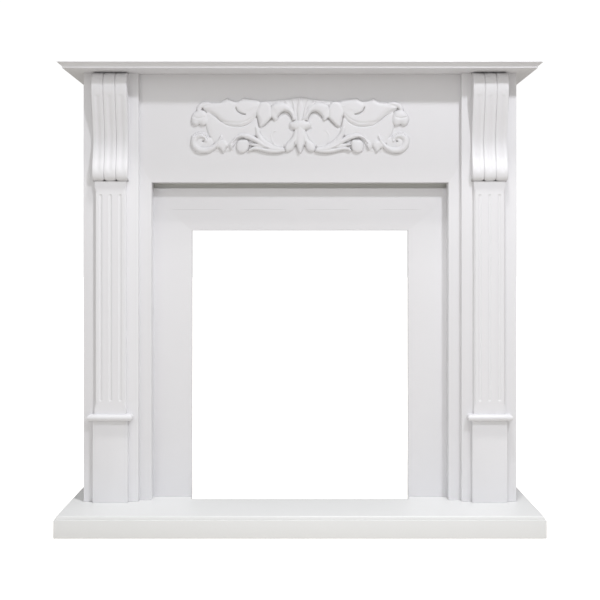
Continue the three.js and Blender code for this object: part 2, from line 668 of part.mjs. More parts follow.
// A swelling: rings that shrink as they rise off the frieze.
function swellingSolid({ centre, radii, edge, crest }, sign) {
  const around = 10;
  const ringShares = [1, 1, 0.65];
  const outlines = [];
  const rings = ringShares.map((share, order) => {
    const height = order === 0 ? 0 : edge + crest * backShape(share);
    const ring = [];
    const outline = [];
    for (let step = 0; step < around; step += 1) {
      const angle = (step / around) * 2 * Math.PI;
      const place = [
        centre[0] + share * radii[0] * Math.cos(angle),
        centre[1] + share * radii[1] * Math.sin(angle),
      ];
      ring.push(onFrieze(place, height, sign));
      outline.push(new THREE.Vector2(...place));
    }
    outlines.push(outline);
    return ring;
  });
  const geometry = solidThroughRings(rings, [outlines[0], outlines[outlines.length - 1]]);
  return toSolid(facingOut(geometry));
}

// The whole carving, joined into one solid with a flat back against the frieze.
function carvedOrnament() {
  const solids = [];
  SIDES.forEach(({ sign }) => {
    Object.values(LEAVES).forEach((leaf) => solids.push(leafSolid(leaf, sign)));
    Object.values(SWELLINGS).forEach((swelling) => solids.push(swellingSolid(swelling, sign)));
    Object.values(SCROLLS).forEach((scroll) => solids.push(scrollSolid(scroll, sign)));
  });
  Object.values(MIDDLE_LEAVES).forEach((leaf) => solids.push(leafSolid(leaf, 1)));
  Object.values(MIDDLE_SWELLINGS).forEach((swelling) => solids.push(swellingSolid(swelling, 1)));
  const whole = solids.reduce((joined, next) => joined.add(next));
  return named('carved_ornament', fromSolid(whole), CARVED_PAINT);
}

const mantelpiece = new THREE.Group();
mantelpiece.name = 'fireplace_mantelpiece';
mantelpiece.add(baseSlab(), bodyBoards(), mantelShelf(), carvedOrnament());
SIDES.forEach((side) => mantelpiece.add(pilaster(side)));

export default mantelpiece;
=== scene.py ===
"""The looks of a white painted fireplace mantelpiece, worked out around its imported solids.

Metres, +Z up, the front faces -Y. Every piece is a surface computed with numpy: a profile or an outline
carried through rings of points, closed at both ends.
"""

import logging
import math
from dataclasses import dataclass, field
from enum import Enum

import bpy
import numpy as np
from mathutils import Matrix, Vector
from mathutils.geometry import delaunay_2d_cdt


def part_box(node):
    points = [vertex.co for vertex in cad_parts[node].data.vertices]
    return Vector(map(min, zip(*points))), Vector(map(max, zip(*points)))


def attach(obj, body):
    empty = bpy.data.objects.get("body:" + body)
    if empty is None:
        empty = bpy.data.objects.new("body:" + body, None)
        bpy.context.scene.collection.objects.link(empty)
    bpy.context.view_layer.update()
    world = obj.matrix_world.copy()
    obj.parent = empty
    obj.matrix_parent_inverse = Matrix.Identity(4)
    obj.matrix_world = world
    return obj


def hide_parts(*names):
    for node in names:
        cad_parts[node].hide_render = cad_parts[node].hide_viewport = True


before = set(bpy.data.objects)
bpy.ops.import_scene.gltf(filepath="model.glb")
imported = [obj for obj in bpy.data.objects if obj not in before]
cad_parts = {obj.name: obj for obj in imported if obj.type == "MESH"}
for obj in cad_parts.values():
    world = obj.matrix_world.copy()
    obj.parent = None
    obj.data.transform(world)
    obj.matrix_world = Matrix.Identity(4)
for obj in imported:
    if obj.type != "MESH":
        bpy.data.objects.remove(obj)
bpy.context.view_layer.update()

MM = 0.001
SHARP_EDGE_ANGLE = math.radians(38)
CARVED_EDGE_ANGLE = math.radians(70)

# The rounding of a board's outline as a share of its edge's, and how far in an eased edge's middle lies
OUTLINE_ROUNDING = 1.2
EASE_MIDDLE = 0.3

# What a slab's corner loses of an inset, and the least share that it keeps of its radius
CORNER_LOSS = 0.5
LEAST_CORNER = 0.3

# Two points nearer than this are one, in metres
SAME_POINT = 1e-7

log = logging.getLogger("mantelpiece")

Pair = tuple[float, float]
Triple = tuple[float, float, float]
Colour = Triple
Socket = bpy.types.NodeSocket
Value = float | Socket


class Side(Enum):
    """The two halves of the mantelpiece, as seen from the room."""

    LEFT = -1
    RIGHT = 1

    @property
    def word(self) -> str:
        """The side's name as the solids' names end with it."""
        return self.name.lower()


class Slot(Enum):
    """The record's material slots."""

    BODY = "body_paint"
    BASE = "base_paint"
    CARVED = "carved_paint"
    RAW = "raw_board"


@dataclass(frozen=True)
class Box:
    """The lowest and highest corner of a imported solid, in metres."""

    lo: Triple
    hi: Triple

    @classmethod
    def of(cls, node: str) -> "Box":
        """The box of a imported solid, by its name."""
        lo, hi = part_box(node)
        return cls(tuple(lo), tuple(hi))

    @property
    def middle_x(self) -> float:
        """The middle of the box across its width."""
        return (self.lo[0] + self.hi[0]) / 2

    @property
    def half_width(self) -> float:
        """Half the width of the box."""
        return (self.hi[0] - self.lo[0]) / 2

    @property
    def height(self) -> float:
        """The height of the box."""
        return self.hi[2] - self.lo[2]

    @property
    def outline(self) -> np.ndarray:
        """The box as seen from the front: its corners, anticlockwise, as rows of X and Z."""
        (left, _, low), (right, _, high) = self.lo, self.hi
        return np.array([[left, low], [right, low], [right, high], [left, high]])

    def closed_behind(self, face: np.ndarray) -> np.ndarray:
        """The rows of a carved front, each carried on to the box's two rear corners at its own level."""
        level = face[:, :1, 2]
        back = np.full_like(level, self.hi[1])
        ends = [np.stack([np.full_like(level, x), back, level], axis=-1) for x in (self.hi[0], self.lo[0])]
        return np.concatenate([face, *ends], axis=1)


def smooth_step(value: np.ndarray, start: float, end: float) -> np.ndarray:
    """A smooth rise from 0 at start to 1 at end: t^2 (3 - 2 t), with t the share of the way."""
    t = np.clip((value - start) / (end - start), 0, 1)
    return t * t * (3 - 2 * t)


def cubic_span(
    t: np.ndarray, start: np.ndarray, leaving: np.ndarray, end: np.ndarray, arriving: np.ndarray
) -> np.ndarray:
    """A cubic curve from start to end by its slopes there, with t the share of the way.

    It is (2t^3 - 3t^2 + 1) start + (t^3 - 2t^2 + t) leaving + (3t^2 - 2t^3) end + (t^3 - t^2) arriving.
    """
    left = (2 * t**3 - 3 * t**2 + 1) * start + (t**3 - 2 * t**2 + t) * leaving
    return left + (3 * t**2 - 2 * t**3) * end + (t**3 - t**2) * arriving


# Shapes worked out with numpy


@dataclass
class Shape:
    """A closed surface: points, faces as lists of point numbers, and how deep in a hollow each point is, for
    the painted shade of carved paint.

    An edge between faces that turn by more than sharp_angle is shaded as a sharp one.
    """

    points: np.ndarray
    faces: list[list[int]]
    hollow: np.ndarray | None = None
    sharp_angle: float = SHARP_EDGE_ANGLE

    def volume(self) -> float:
        """The signed volume, from the sum over faces of a corner dotted with the face's area vector."""
        total = 0.0
        quads = np.array([face for face in self.faces if len(face) == 4])
        if len(quads):
            corner = self.points[quads]
            area = np.cross(corner[:, 2] - corner[:, 0], corner[:, 3] - corner[:, 1]) / 2
            total += float(np.sum(corner.mean(axis=1) * area)) / 3
        for face in (face for face in self.faces if len(face) != 4):
            ring = self.points[face]
            area = np.cross(ring, np.roll(ring, -1, axis=0)).sum(axis=0) / 2
            total += float(ring[0] @ area) / 3
        return total

    def facing_out(self) -> "Shape":
        """The same surface with its faces turned outwards, which makes its volume positive."""
        if self.volume() < 0:
            self.faces = [face[::-1] for face in self.faces]
        return self


def loft(rings: np.ndarray, hollow: np.ndarray | None = None) -> Shape:
    """A closed surface through rings: point (k, n) joins (k, n + 1) and (k + 1, n), with a cap at each end.

    Args:
        rings: points as an array of ring, place in the ring, and X, Y, Z.
        hollow: how deep in a hollow each point is, for painted shade, as an array of ring and place.

    Returns:
        The closed surface, facing outwards.
    """
    ring_count, count, _ = rings.shape
    ids = np.arange(ring_count * count).reshape(ring_count, count)
    after = np.roll(ids, -1, axis=1)
    quads = np.stack([ids[:-1], after[:-1], after[1:], ids[1:]], axis=-1).reshape(-1, 4)
    faces = quads.tolist() + [ids[0, ::-1].tolist(), ids[-1].tolist()]
    flat_hollow = None if hollow is None else hollow.reshape(-1)
    return Shape(rings.reshape(-1, 3), faces, flat_hollow).facing_out()


def eased_outline(corners: np.ndarray, radius: float, inset: float, steps: int = 3) -> np.ndarray:
    """A square-cornered outline moved inwards, with each corner an arc about a centre that stays put.

    At a corner between edges with inward normals a and b, the arc's centre is corner + radius (a + b) for an
    outer corner and corner - radius (a + b) for an inner one, and the arc's radius is radius - inset or
    radius + inset.

    Args:
        corners: the outline's corners, anticlockwise, as an array of place and two coordinates.
        radius: the rounding of the corners before the inset.
        inset: how far the outline moves inwards.
        steps: the count of stretches in each arc.

    Returns:
        The new outline, anticlockwise.
    """
    before = corners - np.roll(corners, 1, axis=0)
    before /= np.linalg.norm(before, axis=1)[:, None]
    after = np.roll(before, -1, axis=0)
    inward_before = np.stack([-before[:, 1], before[:, 0]], axis=1)
    inward_after = np.stack([-after[:, 1], after[:, 0]], axis=1)
    turn = np.sign(before[:, 0] * after[:, 1] - before[:, 1] * after[:, 0])[:, None]
    centre = corners + radius * turn * (inward_before + inward_after)
    angle = np.linspace(0, math.pi / 2, steps + 1)[None, :, None]
    direction = inward_before[:, None] * np.cos(angle) + inward_after[:, None] * np.sin(angle)
    reach = (radius - turn * inset)[:, None]
    return (centre[:, None] - turn[:, None] * reach * direction).reshape(-1, 2)


def quarter_round(size: float, steps: int) -> np.ndarray:
    """Rows of inset size (1 - cos a) and fall size (1 - sin a), for a from 90 degrees on the face to 0."""
    angle = np.linspace(math.pi / 2, 0, steps + 1)
    return np.stack([size * (1 - np.cos(angle)), size * (1 - np.sin(angle))], axis=1)


def facing_board(corners: np.ndarray, box: Box, ease: float) -> Shape:
    """A board of any square-cornered outline in the X-Z plane, with its front edges eased.

    Its rings are the outline at the inset and depth of each place on a quarter round, then at the back. The
    outline's own corners are rounded a little more than the front edges.

    Args:
        corners: the outline, anticlockwise as seen from the front, as rows of X and Z.
        box: the box of the solid, which gives the Y of the front and of the back.
        ease: the radius of the eased front edges.

    Returns:
        The closed board.
    """
    rounding = quarter_round(ease, 4)
    insets = np.append(rounding[:, 0], 0.0)
    depths = np.append(box.lo[1] + rounding[:, 1], box.hi[1])
    rings = []
    for inset, depth in zip(insets, depths):
        outline = eased_outline(corners, OUTLINE_ROUNDING * ease, float(inset))
        rings.append(np.stack([outline[:, 0], np.full(len(outline), depth), outline[:, 1]], axis=1))
    return loft(np.array(rings))


def moulded_slab(profile: np.ndarray, box: Box, corner: float, rear: np.ndarray | None = None) -> Shape:
    """A slab whose profile runs round its front and both ends: each row of the profile is one level ring.

    A ring's two front corners are arcs, smaller where the profile goes in. Its rear points stay where they
    are, apart from the first and the last, which follow the ends.

    Args:
        profile: rows of inset and Z, from the bottom to the top.
        box: the box of the solid.
        corner: the radius of the two front corners where the inset is nothing.
        rear: the rear outline from its right end to its left end, as rows of X from the middle and Y, or
            None for a straight back.

    Returns:
        The closed slab.
    """
    if rear is None:
        rear = np.array([[0.0, box.hi[1]], [0.0, box.hi[1]]])
    angle = np.linspace(0, math.pi / 2, 5)
    turn = np.stack([np.sin(angle) - 1, 1 - np.cos(angle)], axis=1)
    rings = []
    for inset, level in profile:
        half = box.half_width - inset
        radius = max(corner - inset * CORNER_LOSS, corner * LEAST_CORNER)
        right = np.array([half, box.lo[1] + inset]) + radius * turn
        left = right[::-1] * np.array([-1.0, 1.0])
        ends = rear.copy()
        ends[[0, -1], 0] = half, -half
        outline = np.concatenate([left, right, ends]) + np.array([box.middle_x, 0.0])
        rings.append(np.column_stack([outline, np.full(len(outline), level)]))
    return loft(np.array(rings))


# Finishes


def new_group(name: str, inputs: dict[str, float], outputs: list[str]) -> bpy.types.NodeTree:
    """A shader node group with number inputs and outputs.

    Args:
        name: the group's name.
        inputs: each input's name and its value where none is given.
        outputs: the outputs' names.

    Returns:
        The group, with only its input and output nodes in it.
    """
    group = bpy.data.node_groups.new(name, "ShaderNodeTree")
    for label, value in inputs.items():
        socket = group.interface.new_socket(label, in_out="INPUT", socket_type="NodeSocketFloat")
        socket.default_value = value
    for label in outputs:
        group.interface.new_socket(label, in_out="OUTPUT", socket_type="NodeSocketFloat")
    group.nodes.new("NodeGroupInput")
    group.nodes.new("NodeGroupOutput")
    return group


# A mix node's colour sockets, by number, because its other sockets have the same names
MIX_FIRST, MIX_SECOND, MIX_RESULT = 6, 7, 2


@dataclass
class NodeDesk:
    """A short way to place and link nodes in one tree."""

    tree: bpy.types.NodeTree

    def fill(self, node: bpy.types.Node, values: dict) -> None:
        """Sets a node's inputs, by name or number, to values, or links them from sockets."""
        for label, value in values.items():
            if isinstance(value, Socket):
                self.tree.links.new(value, node.inputs[label])
            else:
                node.inputs[label].default_value = value

    def add(self, kind: str, settings: dict | None = None, values: dict | None = None) -> bpy.types.Node:
        """A node with its settings and the values of its inputs.

        Args:
            kind: the node's type.
            settings: attribute names and values.
            values: input names or numbers, each with a value or with a socket to link from.

        Returns:
            The new node.
        """
        node = self.tree.nodes.new(kind)
        for label, value in (settings or {}).items():
            setattr(node, label, value)
        self.fill(node, values or {})
        return node

    def place(self) -> Socket:
        """The place on the object, in metres."""
        return self.add("ShaderNodeTexCoord").outputs["Object"]

    def math(self, operation: str, first: Value, second: Value = 0.0, clamp: bool = False) -> Socket:
        """The output of a Math node on two values or sockets."""
        node = self.add("ShaderNodeMath", {"operation": operation, "use_clamp": clamp}, {0: first, 1: second})
        return node.outputs[0]

    def shared(self, first: Value, share: float, second: Value) -> Socket:
        """The first value times a share, plus the second times the rest of 1."""
        return self.math("ADD", self.math("MULTIPLY", first, share), self.math("MULTIPLY", second, 1 - share))

    def noise(self, place: Socket, scale: Value, **more: float) -> Socket:
        """The factor of a noise at a scale in repeats per metre, with more of its inputs by name."""
        return self.add("ShaderNodeTexNoise", {}, {"Vector": place, "Scale": scale, **more}).outputs[0]

    def mix(self, factor: Value, first: Colour | Socket, second: Colour | Socket) -> Socket:
        """The colour between two colours or sockets: the first at a factor of 0, the second at 1."""
        first, second = ((*part, 1) if isinstance(part, tuple) else part for part in (first, second))
        values = {"Factor": factor, MIX_FIRST: first, MIX_SECOND: second}
        return self.add("ShaderNodeMix", {"data_type": "RGBA"}, values).outputs[MIX_RESULT]

    def bump(self, height: Socket, distance: float) -> Socket:
        """The normal of a surface that a height between 0 and 1 raises by up to a distance."""
        values = {"Height": height, "Distance": distance, "Strength": 1.0}
        return self.add("ShaderNodeBump", {}, values).outputs["Normal"]


def new_material(name: str) -> tuple[bpy.types.Material, NodeDesk, bpy.types.Node]:
    """A new material with nodes, a desk for its tree, and its shader node."""
    made = bpy.data.materials.new(name)
    made.use_nodes = True
    return made, NodeDesk(made.node_tree), made.node_tree.nodes["Principled BSDF"]


def new_object(name: str, data: bpy.types.ID) -> bpy.types.Object:
    """A new object in the scene for a mesh, a light or a camera."""
    made = bpy.data.objects.new(name, data)
    bpy.context.scene.collection.objects.link(made)
    return made


def paint_skin_group() -> bpy.types.NodeTree:
    """The skin of rolled and sprayed paint: broad tone, small gloss changes and the height of its stipple.

    Tone is two thirds broad and one third finer noise. Height is the slow waves of a roller and fine stipple.

    Returns:
        The group, with Tone, Gloss and Height between 0 and 1.
    """
    inputs = {"Tone Size": 3.0, "Stipple Size": 700.0, "Wave Size": 160.0}
    group = new_group("paint_skin", inputs, ["Tone", "Gloss", "Height"])
    desk = NodeDesk(group)
    given = group.nodes["Group Input"].outputs
    place = desk.place()
    broad = desk.noise(place, given["Tone Size"], Detail=3.0)
    fine = desk.noise(place, desk.math("MULTIPLY", given["Tone Size"], 9.0), Detail=2.0)
    waves = desk.noise(place, given["Wave Size"], Detail=1.0)
    stipple = desk.noise(place, given["Stipple Size"], Detail=2.0)
    height = desk.shared(waves, 0.65, stipple)
    made = {"Tone": desk.shared(broad, 0.67, fine), "Gloss": waves, "Height": height}
    desk.fill(group.nodes["Group Output"], made)
    return group


@dataclass(frozen=True)
class Hairline:
    """A fine broken line in the paint at one height, as stretches across the object, in metres."""

    height: float
    stretches: tuple[Pair, ...]
    half_width: float = 0.5 * MM
    fade: float = 20 * MM
    strength: float = 0.7

    def group(self) -> bpy.types.NodeTree:
        """The line as a node group, whose Mask is 1 near its height within a stretch and 0 elsewhere."""
        group = new_group("hairline", {"Height": self.height, "Half Width": self.half_width}, ["Mask"])
        desk = NodeDesk(group)
        given = group.nodes["Group Input"].outputs
        parts = desk.add("ShaderNodeSeparateXYZ", {}, {0: desk.place()}).outputs
        away = desk.math("ABSOLUTE", desk.math("SUBTRACT", parts["Z"], given["Height"]))
        level = desk.math("SUBTRACT", 1.0, desk.math("DIVIDE", away, given["Half Width"]), clamp=True)
        along = 0.0
        for start, end in self.stretches:
            aside = desk.math("ABSOLUTE", desk.math("SUBTRACT", parts["X"], (start + end) / 2))
            left = desk.math("SUBTRACT", (end - start) / 2, aside)
            along = desk.math("MAXIMUM", along, desk.math("DIVIDE", left, self.fade, clamp=True))
        desk.fill(group.nodes["Group Output"], {"Mask": desk.math("MULTIPLY", level, along)})
        return group


@dataclass(frozen=True)
class PaintFinish:
    """Satin paint on smooth board or on carved work, with painted shade mixed in where a piece's hollow
    attribute is high.
    """

    name: str
    colour: Colour
    # The grey that hollows are darkened to as painted shade, and the colour of the hairline joint
    shade_and_joint_colour: Colour
    roughness: float = 0.42
    tone_amount: float = 0.03
    gloss_amount: float = 0.1
    skin_depth: float = 0.06 * MM
    tone_size: float = 3.0
    # How far the hollow attribute mixes the colour towards the grey: painted shade in recesses
    painted_shade_amount: float = 0.0
    hairline: Hairline | None = None
    refraction: float = 1.5

    def material(self, groups: dict[str, bpy.types.NodeTree]) -> bpy.types.Material:
        """The finished material.

        Args:
            groups: the shared node groups by name.

        Returns:
            A material whose tone, gloss and skin follow the paint skin group.
        """
        made, desk, shader = new_material(self.name)
        skin_settings = {"node_tree": groups["paint_skin"]}
        skin = desk.add("ShaderNodeGroup", skin_settings, {"Tone Size": self.tone_size}).outputs
        dark = tuple(part * (1 - self.tone_amount) for part in self.colour)
        colour = desk.mix(skin["Tone"], dark, self.colour)
        # Painted shade: the deeper a point lies in a hollow, the nearer its colour comes to the grey
        if self.painted_shade_amount:
            depth = desk.add("ShaderNodeAttribute", {"attribute_name": "hollow"}).outputs["Fac"]
            share = desk.math("MULTIPLY", depth, self.painted_shade_amount, clamp=True)
            colour = desk.mix(share, colour, self.shade_and_joint_colour)
        if self.hairline:
            line = desk.add("ShaderNodeGroup", {"node_tree": self.hairline.group()}).outputs["Mask"]
            colour = desk.mix(desk.math("MULTIPLY", line, self.hairline.strength), colour, self.shade_and_joint_colour)
        low = self.roughness - self.gloss_amount / 2
        limits = {"Value": skin["Gloss"], "To Min": low, "To Max": low + self.gloss_amount}
        rough = desk.add("ShaderNodeMapRange", {}, limits).outputs["Result"]
        normal = desk.bump(skin["Height"], self.skin_depth)
        surface = {"Base Color": colour, "Roughness": rough, "Normal": normal, "IOR": self.refraction}
        desk.fill(shader, surface)
        return made


@dataclass(frozen=True)
class RawBoardFinish:
    """Bare pressed board, pale and matt, with short fibres."""

    name: str = "bare_board"
    light: Colour = (0.82, 0.82, 0.79)
    dark: Colour = (0.70, 0.70, 0.66)
    fibre_size: float = 420.0
    stretch: Triple = (1.0, 2.2, 3.4)
    fibre_height: float = 0.2 * MM
    roughness: float = 0.86

    def material(self) -> bpy.types.Material:
        """The material, mixed from a dark and a light tone by stretched noise."""
        made, desk, shader = new_material(self.name)
        values = {"Vector": desk.place(), "Scale": self.stretch}
        stretched = desk.add("ShaderNodeMapping", {}, values).outputs[0]
        fibres = desk.noise(stretched, self.fibre_size, Detail=4.0, Roughness=0.7)
        colour = desk.mix(fibres, self.dark, self.light)
        normal = desk.bump(fibres, self.fibre_height)
        desk.fill(shader, {"Base Color": colour, "Normal": normal, "Roughness": self.roughness})
        return made


@dataclass
class Paints:
    """The finishes of the whole object, one material for each slot."""

    materials: dict[Slot, bpy.types.Material] = field(default_factory=dict)

    def mix(self) -> None:
        """Builds the shared groups once, and then each slot's material."""
        groups = {"paint_skin": paint_skin_group()}
        # The grey is painted shade in the hollows of carved work, and the hairline joint's colour
        grey = (0.34, 0.33, 0.325)
        white = (0.785, 0.782, 0.8)
        joint = Hairline(809.7 * MM, ((-0.342, -0.197), (-0.163, -0.032), (0.008, 0.139), (0.205, 0.321)))
        body = PaintFinish("white_body_paint", white, grey, hairline=joint)
        base = PaintFinish("white_base_paint", (0.79, 0.795, 0.79), grey, roughness=0.38)
        # Carved work is darkened in its hollows as painted shade, up to three quarters of the way to the grey
        carved = PaintFinish("white_carved_paint", white, grey, roughness=0.45, painted_shade_amount=0.75)
        self.materials = {
            Slot.BODY: body.material(groups),
            Slot.BASE: base.material(groups),
            Slot.CARVED: carved.material(groups),
            Slot.RAW: RawBoardFinish().material(),
        }

    def finish(self, piece: bpy.types.Object, slot: Slot) -> None:
        """Gives a piece the material of its slot."""
        piece.data.materials.clear()
        piece.data.materials.append(self.materials[slot])


@dataclass
class Workshop:
    """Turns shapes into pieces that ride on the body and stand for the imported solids."""

    paints: Paints
    pieces: list[bpy.types.Object] = field(default_factory=list)

    def make(self, name: str, shape: Shape, slot: Slot, *nodes: str) -> None:
        """Makes a finished piece, at the origin.

        Args:
            name: the piece's name.
            shape: its closed surface.
            slot: the slot that its finish comes from.
            nodes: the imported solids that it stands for.
        """
        mesh = bpy.data.meshes.new(name)
        mesh.from_pydata(shape.points.tolist(), [], shape.faces)
        mesh.polygons.foreach_set("use_smooth", np.ones(len(mesh.polygons), dtype=bool))
        mesh.set_sharp_from_angle(angle=shape.sharp_angle)
        # The hollow attribute carries the depth for painted shade in the carved paint
        if shape.hollow is not None:
            layer = mesh.attributes.new("hollow", "FLOAT", "POINT")
            layer.data.foreach_set("value", shape.hollow.astype(np.float32))
        mesh.update()
        piece = new_object(name, mesh)
        self.paints.finish(piece, slot)
        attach(piece, "root")
        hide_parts(*nodes)
        self.pieces.append(piece)
        log.info("%s: %d faces, for %s", name, len(mesh.polygons), ", ".join(nodes))


# The parts of the mantelpiece


@dataclass
class BaseSlab:
    """The slab that everything stands on, with a bay at the back."""

    edge_face: float = 45 * MM
    edge_step: float = 3.6 * MM
    edge_round: float = 3.8 * MM
    bay_half: float = 330 * MM
    mouth_half: float = 284 * MM
    mouth_front: float = -22 * MM
    panel_back: float = 11 * MM
    corner: float = 1.6 * MM
    floor_ease: float = 0.8 * MM
    face_ease: float = 0.7 * MM

    def profile(self, top: float) -> np.ndarray:
        """Rows of inset and Z: a square face, a small step, then a quarter round to the top."""
        angle = np.linspace(0, math.pi / 2, 9)
        inset = self.edge_step + self.edge_round * (1 - np.cos(angle))
        level = self.edge_face + (top - self.edge_face) * np.sin(angle)
        face = [
            [self.floor_ease, 0.0],
            [0.0, self.floor_ease],
            [0.0, self.edge_face - self.face_ease],
            [self.face_ease * EASE_MIDDLE, self.edge_face - self.face_ease * EASE_MIDDLE],
            [self.face_ease, self.edge_face],
        ]
        return np.concatenate([face, np.stack([inset, level], axis=1)])

    def build(self, shop: Workshop) -> None:
        """Makes the slab inside the box of its solid."""
        box = Box.of("base")
        right = np.array(
            [
                [box.hi[0], box.hi[1]],
                [self.bay_half, box.hi[1]],
                [self.bay_half, self.panel_back],
                [self.mouth_half, self.panel_back],
                [self.mouth_half, self.mouth_front],
            ]
        )
        rear = np.concatenate([right, right[::-1] * np.array([-1.0, 1.0])])
        shape = moulded_slab(self.profile(box.hi[2]), box, self.corner, rear)
        shop.make("base_slab", shape, Slot.BASE, "base")


@dataclass
class MantelShelf:
    """The shelf: a thin lip over a hollow cove along the front and both ends."""

    lip: float = 1.8 * MM
    lip_ease: float = 0.63 * MM
    lip_step: float = 1.2 * MM
    cove: float = 10 * MM
    corner: float = 1.2 * MM

    def profile(self, bottom: float, top: float) -> np.ndarray:
        """Rows of inset and Z: the underside's edge, the hollow of the cove, the step and the lip."""
        angle = np.linspace(0, math.pi / 2, 17)
        height = top - bottom - self.lip
        cove = np.stack([self.lip_step + self.cove * np.cos(angle), bottom + height * np.sin(angle)], axis=1)
        ease, middle = self.lip_ease, self.lip_ease * EASE_MIDDLE
        lip = [[0.0, top - self.lip], [0.0, top - ease], [middle, top - middle], [ease, top]]
        return np.concatenate([cove, lip])

    def build(self, shop: Workshop) -> None:
        """Makes the shelf inside the box of its solid."""
        box = Box.of("mantel_shelf")
        shape = moulded_slab(self.profile(box.lo[2], box.hi[2]), box, self.corner)
        shop.make("shelf_moulding", shape, Slot.BODY, "mantel_shelf")


@dataclass
class Boards:
    """The flat boards of the body, each with eased front edges."""

    ease: float = 1.0 * MM
    opening_half: float = 385 * MM
    lintel_underside: float = 878 * MM
    fire_half: float = 284 * MM
    fire_top: float = 755 * MM

    def arched(self, shop: Workshop, name: str, node: str, half: float, top: float) -> None:
        """A board in the form of an upturned U that fills the box of its solid.

        Args:
            shop: the workshop that makes it.
            name: the piece's name.
            node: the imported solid.
            half: half the width of the opening that it stands round.
            top: the height of the opening's top.
        """
        box = Box.of(node)
        low_left, low_right, high_right, high_left = box.outline
        opening = [[-half, low_left[1]], [-half, top], [half, top], [half, low_left[1]]]
        corners = np.array([low_left, *opening, low_right, high_right, high_left])
        shop.make(name, facing_board(corners, box, self.ease), Slot.BODY, node)

    def plain(self, shop: Workshop, name: str, node: str, slot: Slot = Slot.BODY) -> None:
        """A rectangular board that fills the box of its solid."""
        box = Box.of(node)
        shop.make(name, facing_board(box.outline, box, self.ease), slot, node)

    def build(self, shop: Workshop) -> None:
        """Makes the frame board, the surround and the boards around them."""
        self.arched(shop, "frieze_and_frame", "frame_board", self.opening_half, self.lintel_underside)
        self.arched(shop, "recessed_surround", "surround_panel", self.fire_half, self.fire_top)
        self.plain(shop, "recess_head", "reveal_strip_head")
        self.plain(shop, "rail_behind_slot", "head_rail", Slot.RAW)
        for side in Side:
            self.plain(shop, f"leg_face_{side.word}", f"leg_board_{side.word}")
            self.plain(shop, f"body_side_{side.word}", f"side_panel_{side.word}")
            self.plain(shop, f"recess_side_{side.word}", f"reveal_strip_{side.word}")


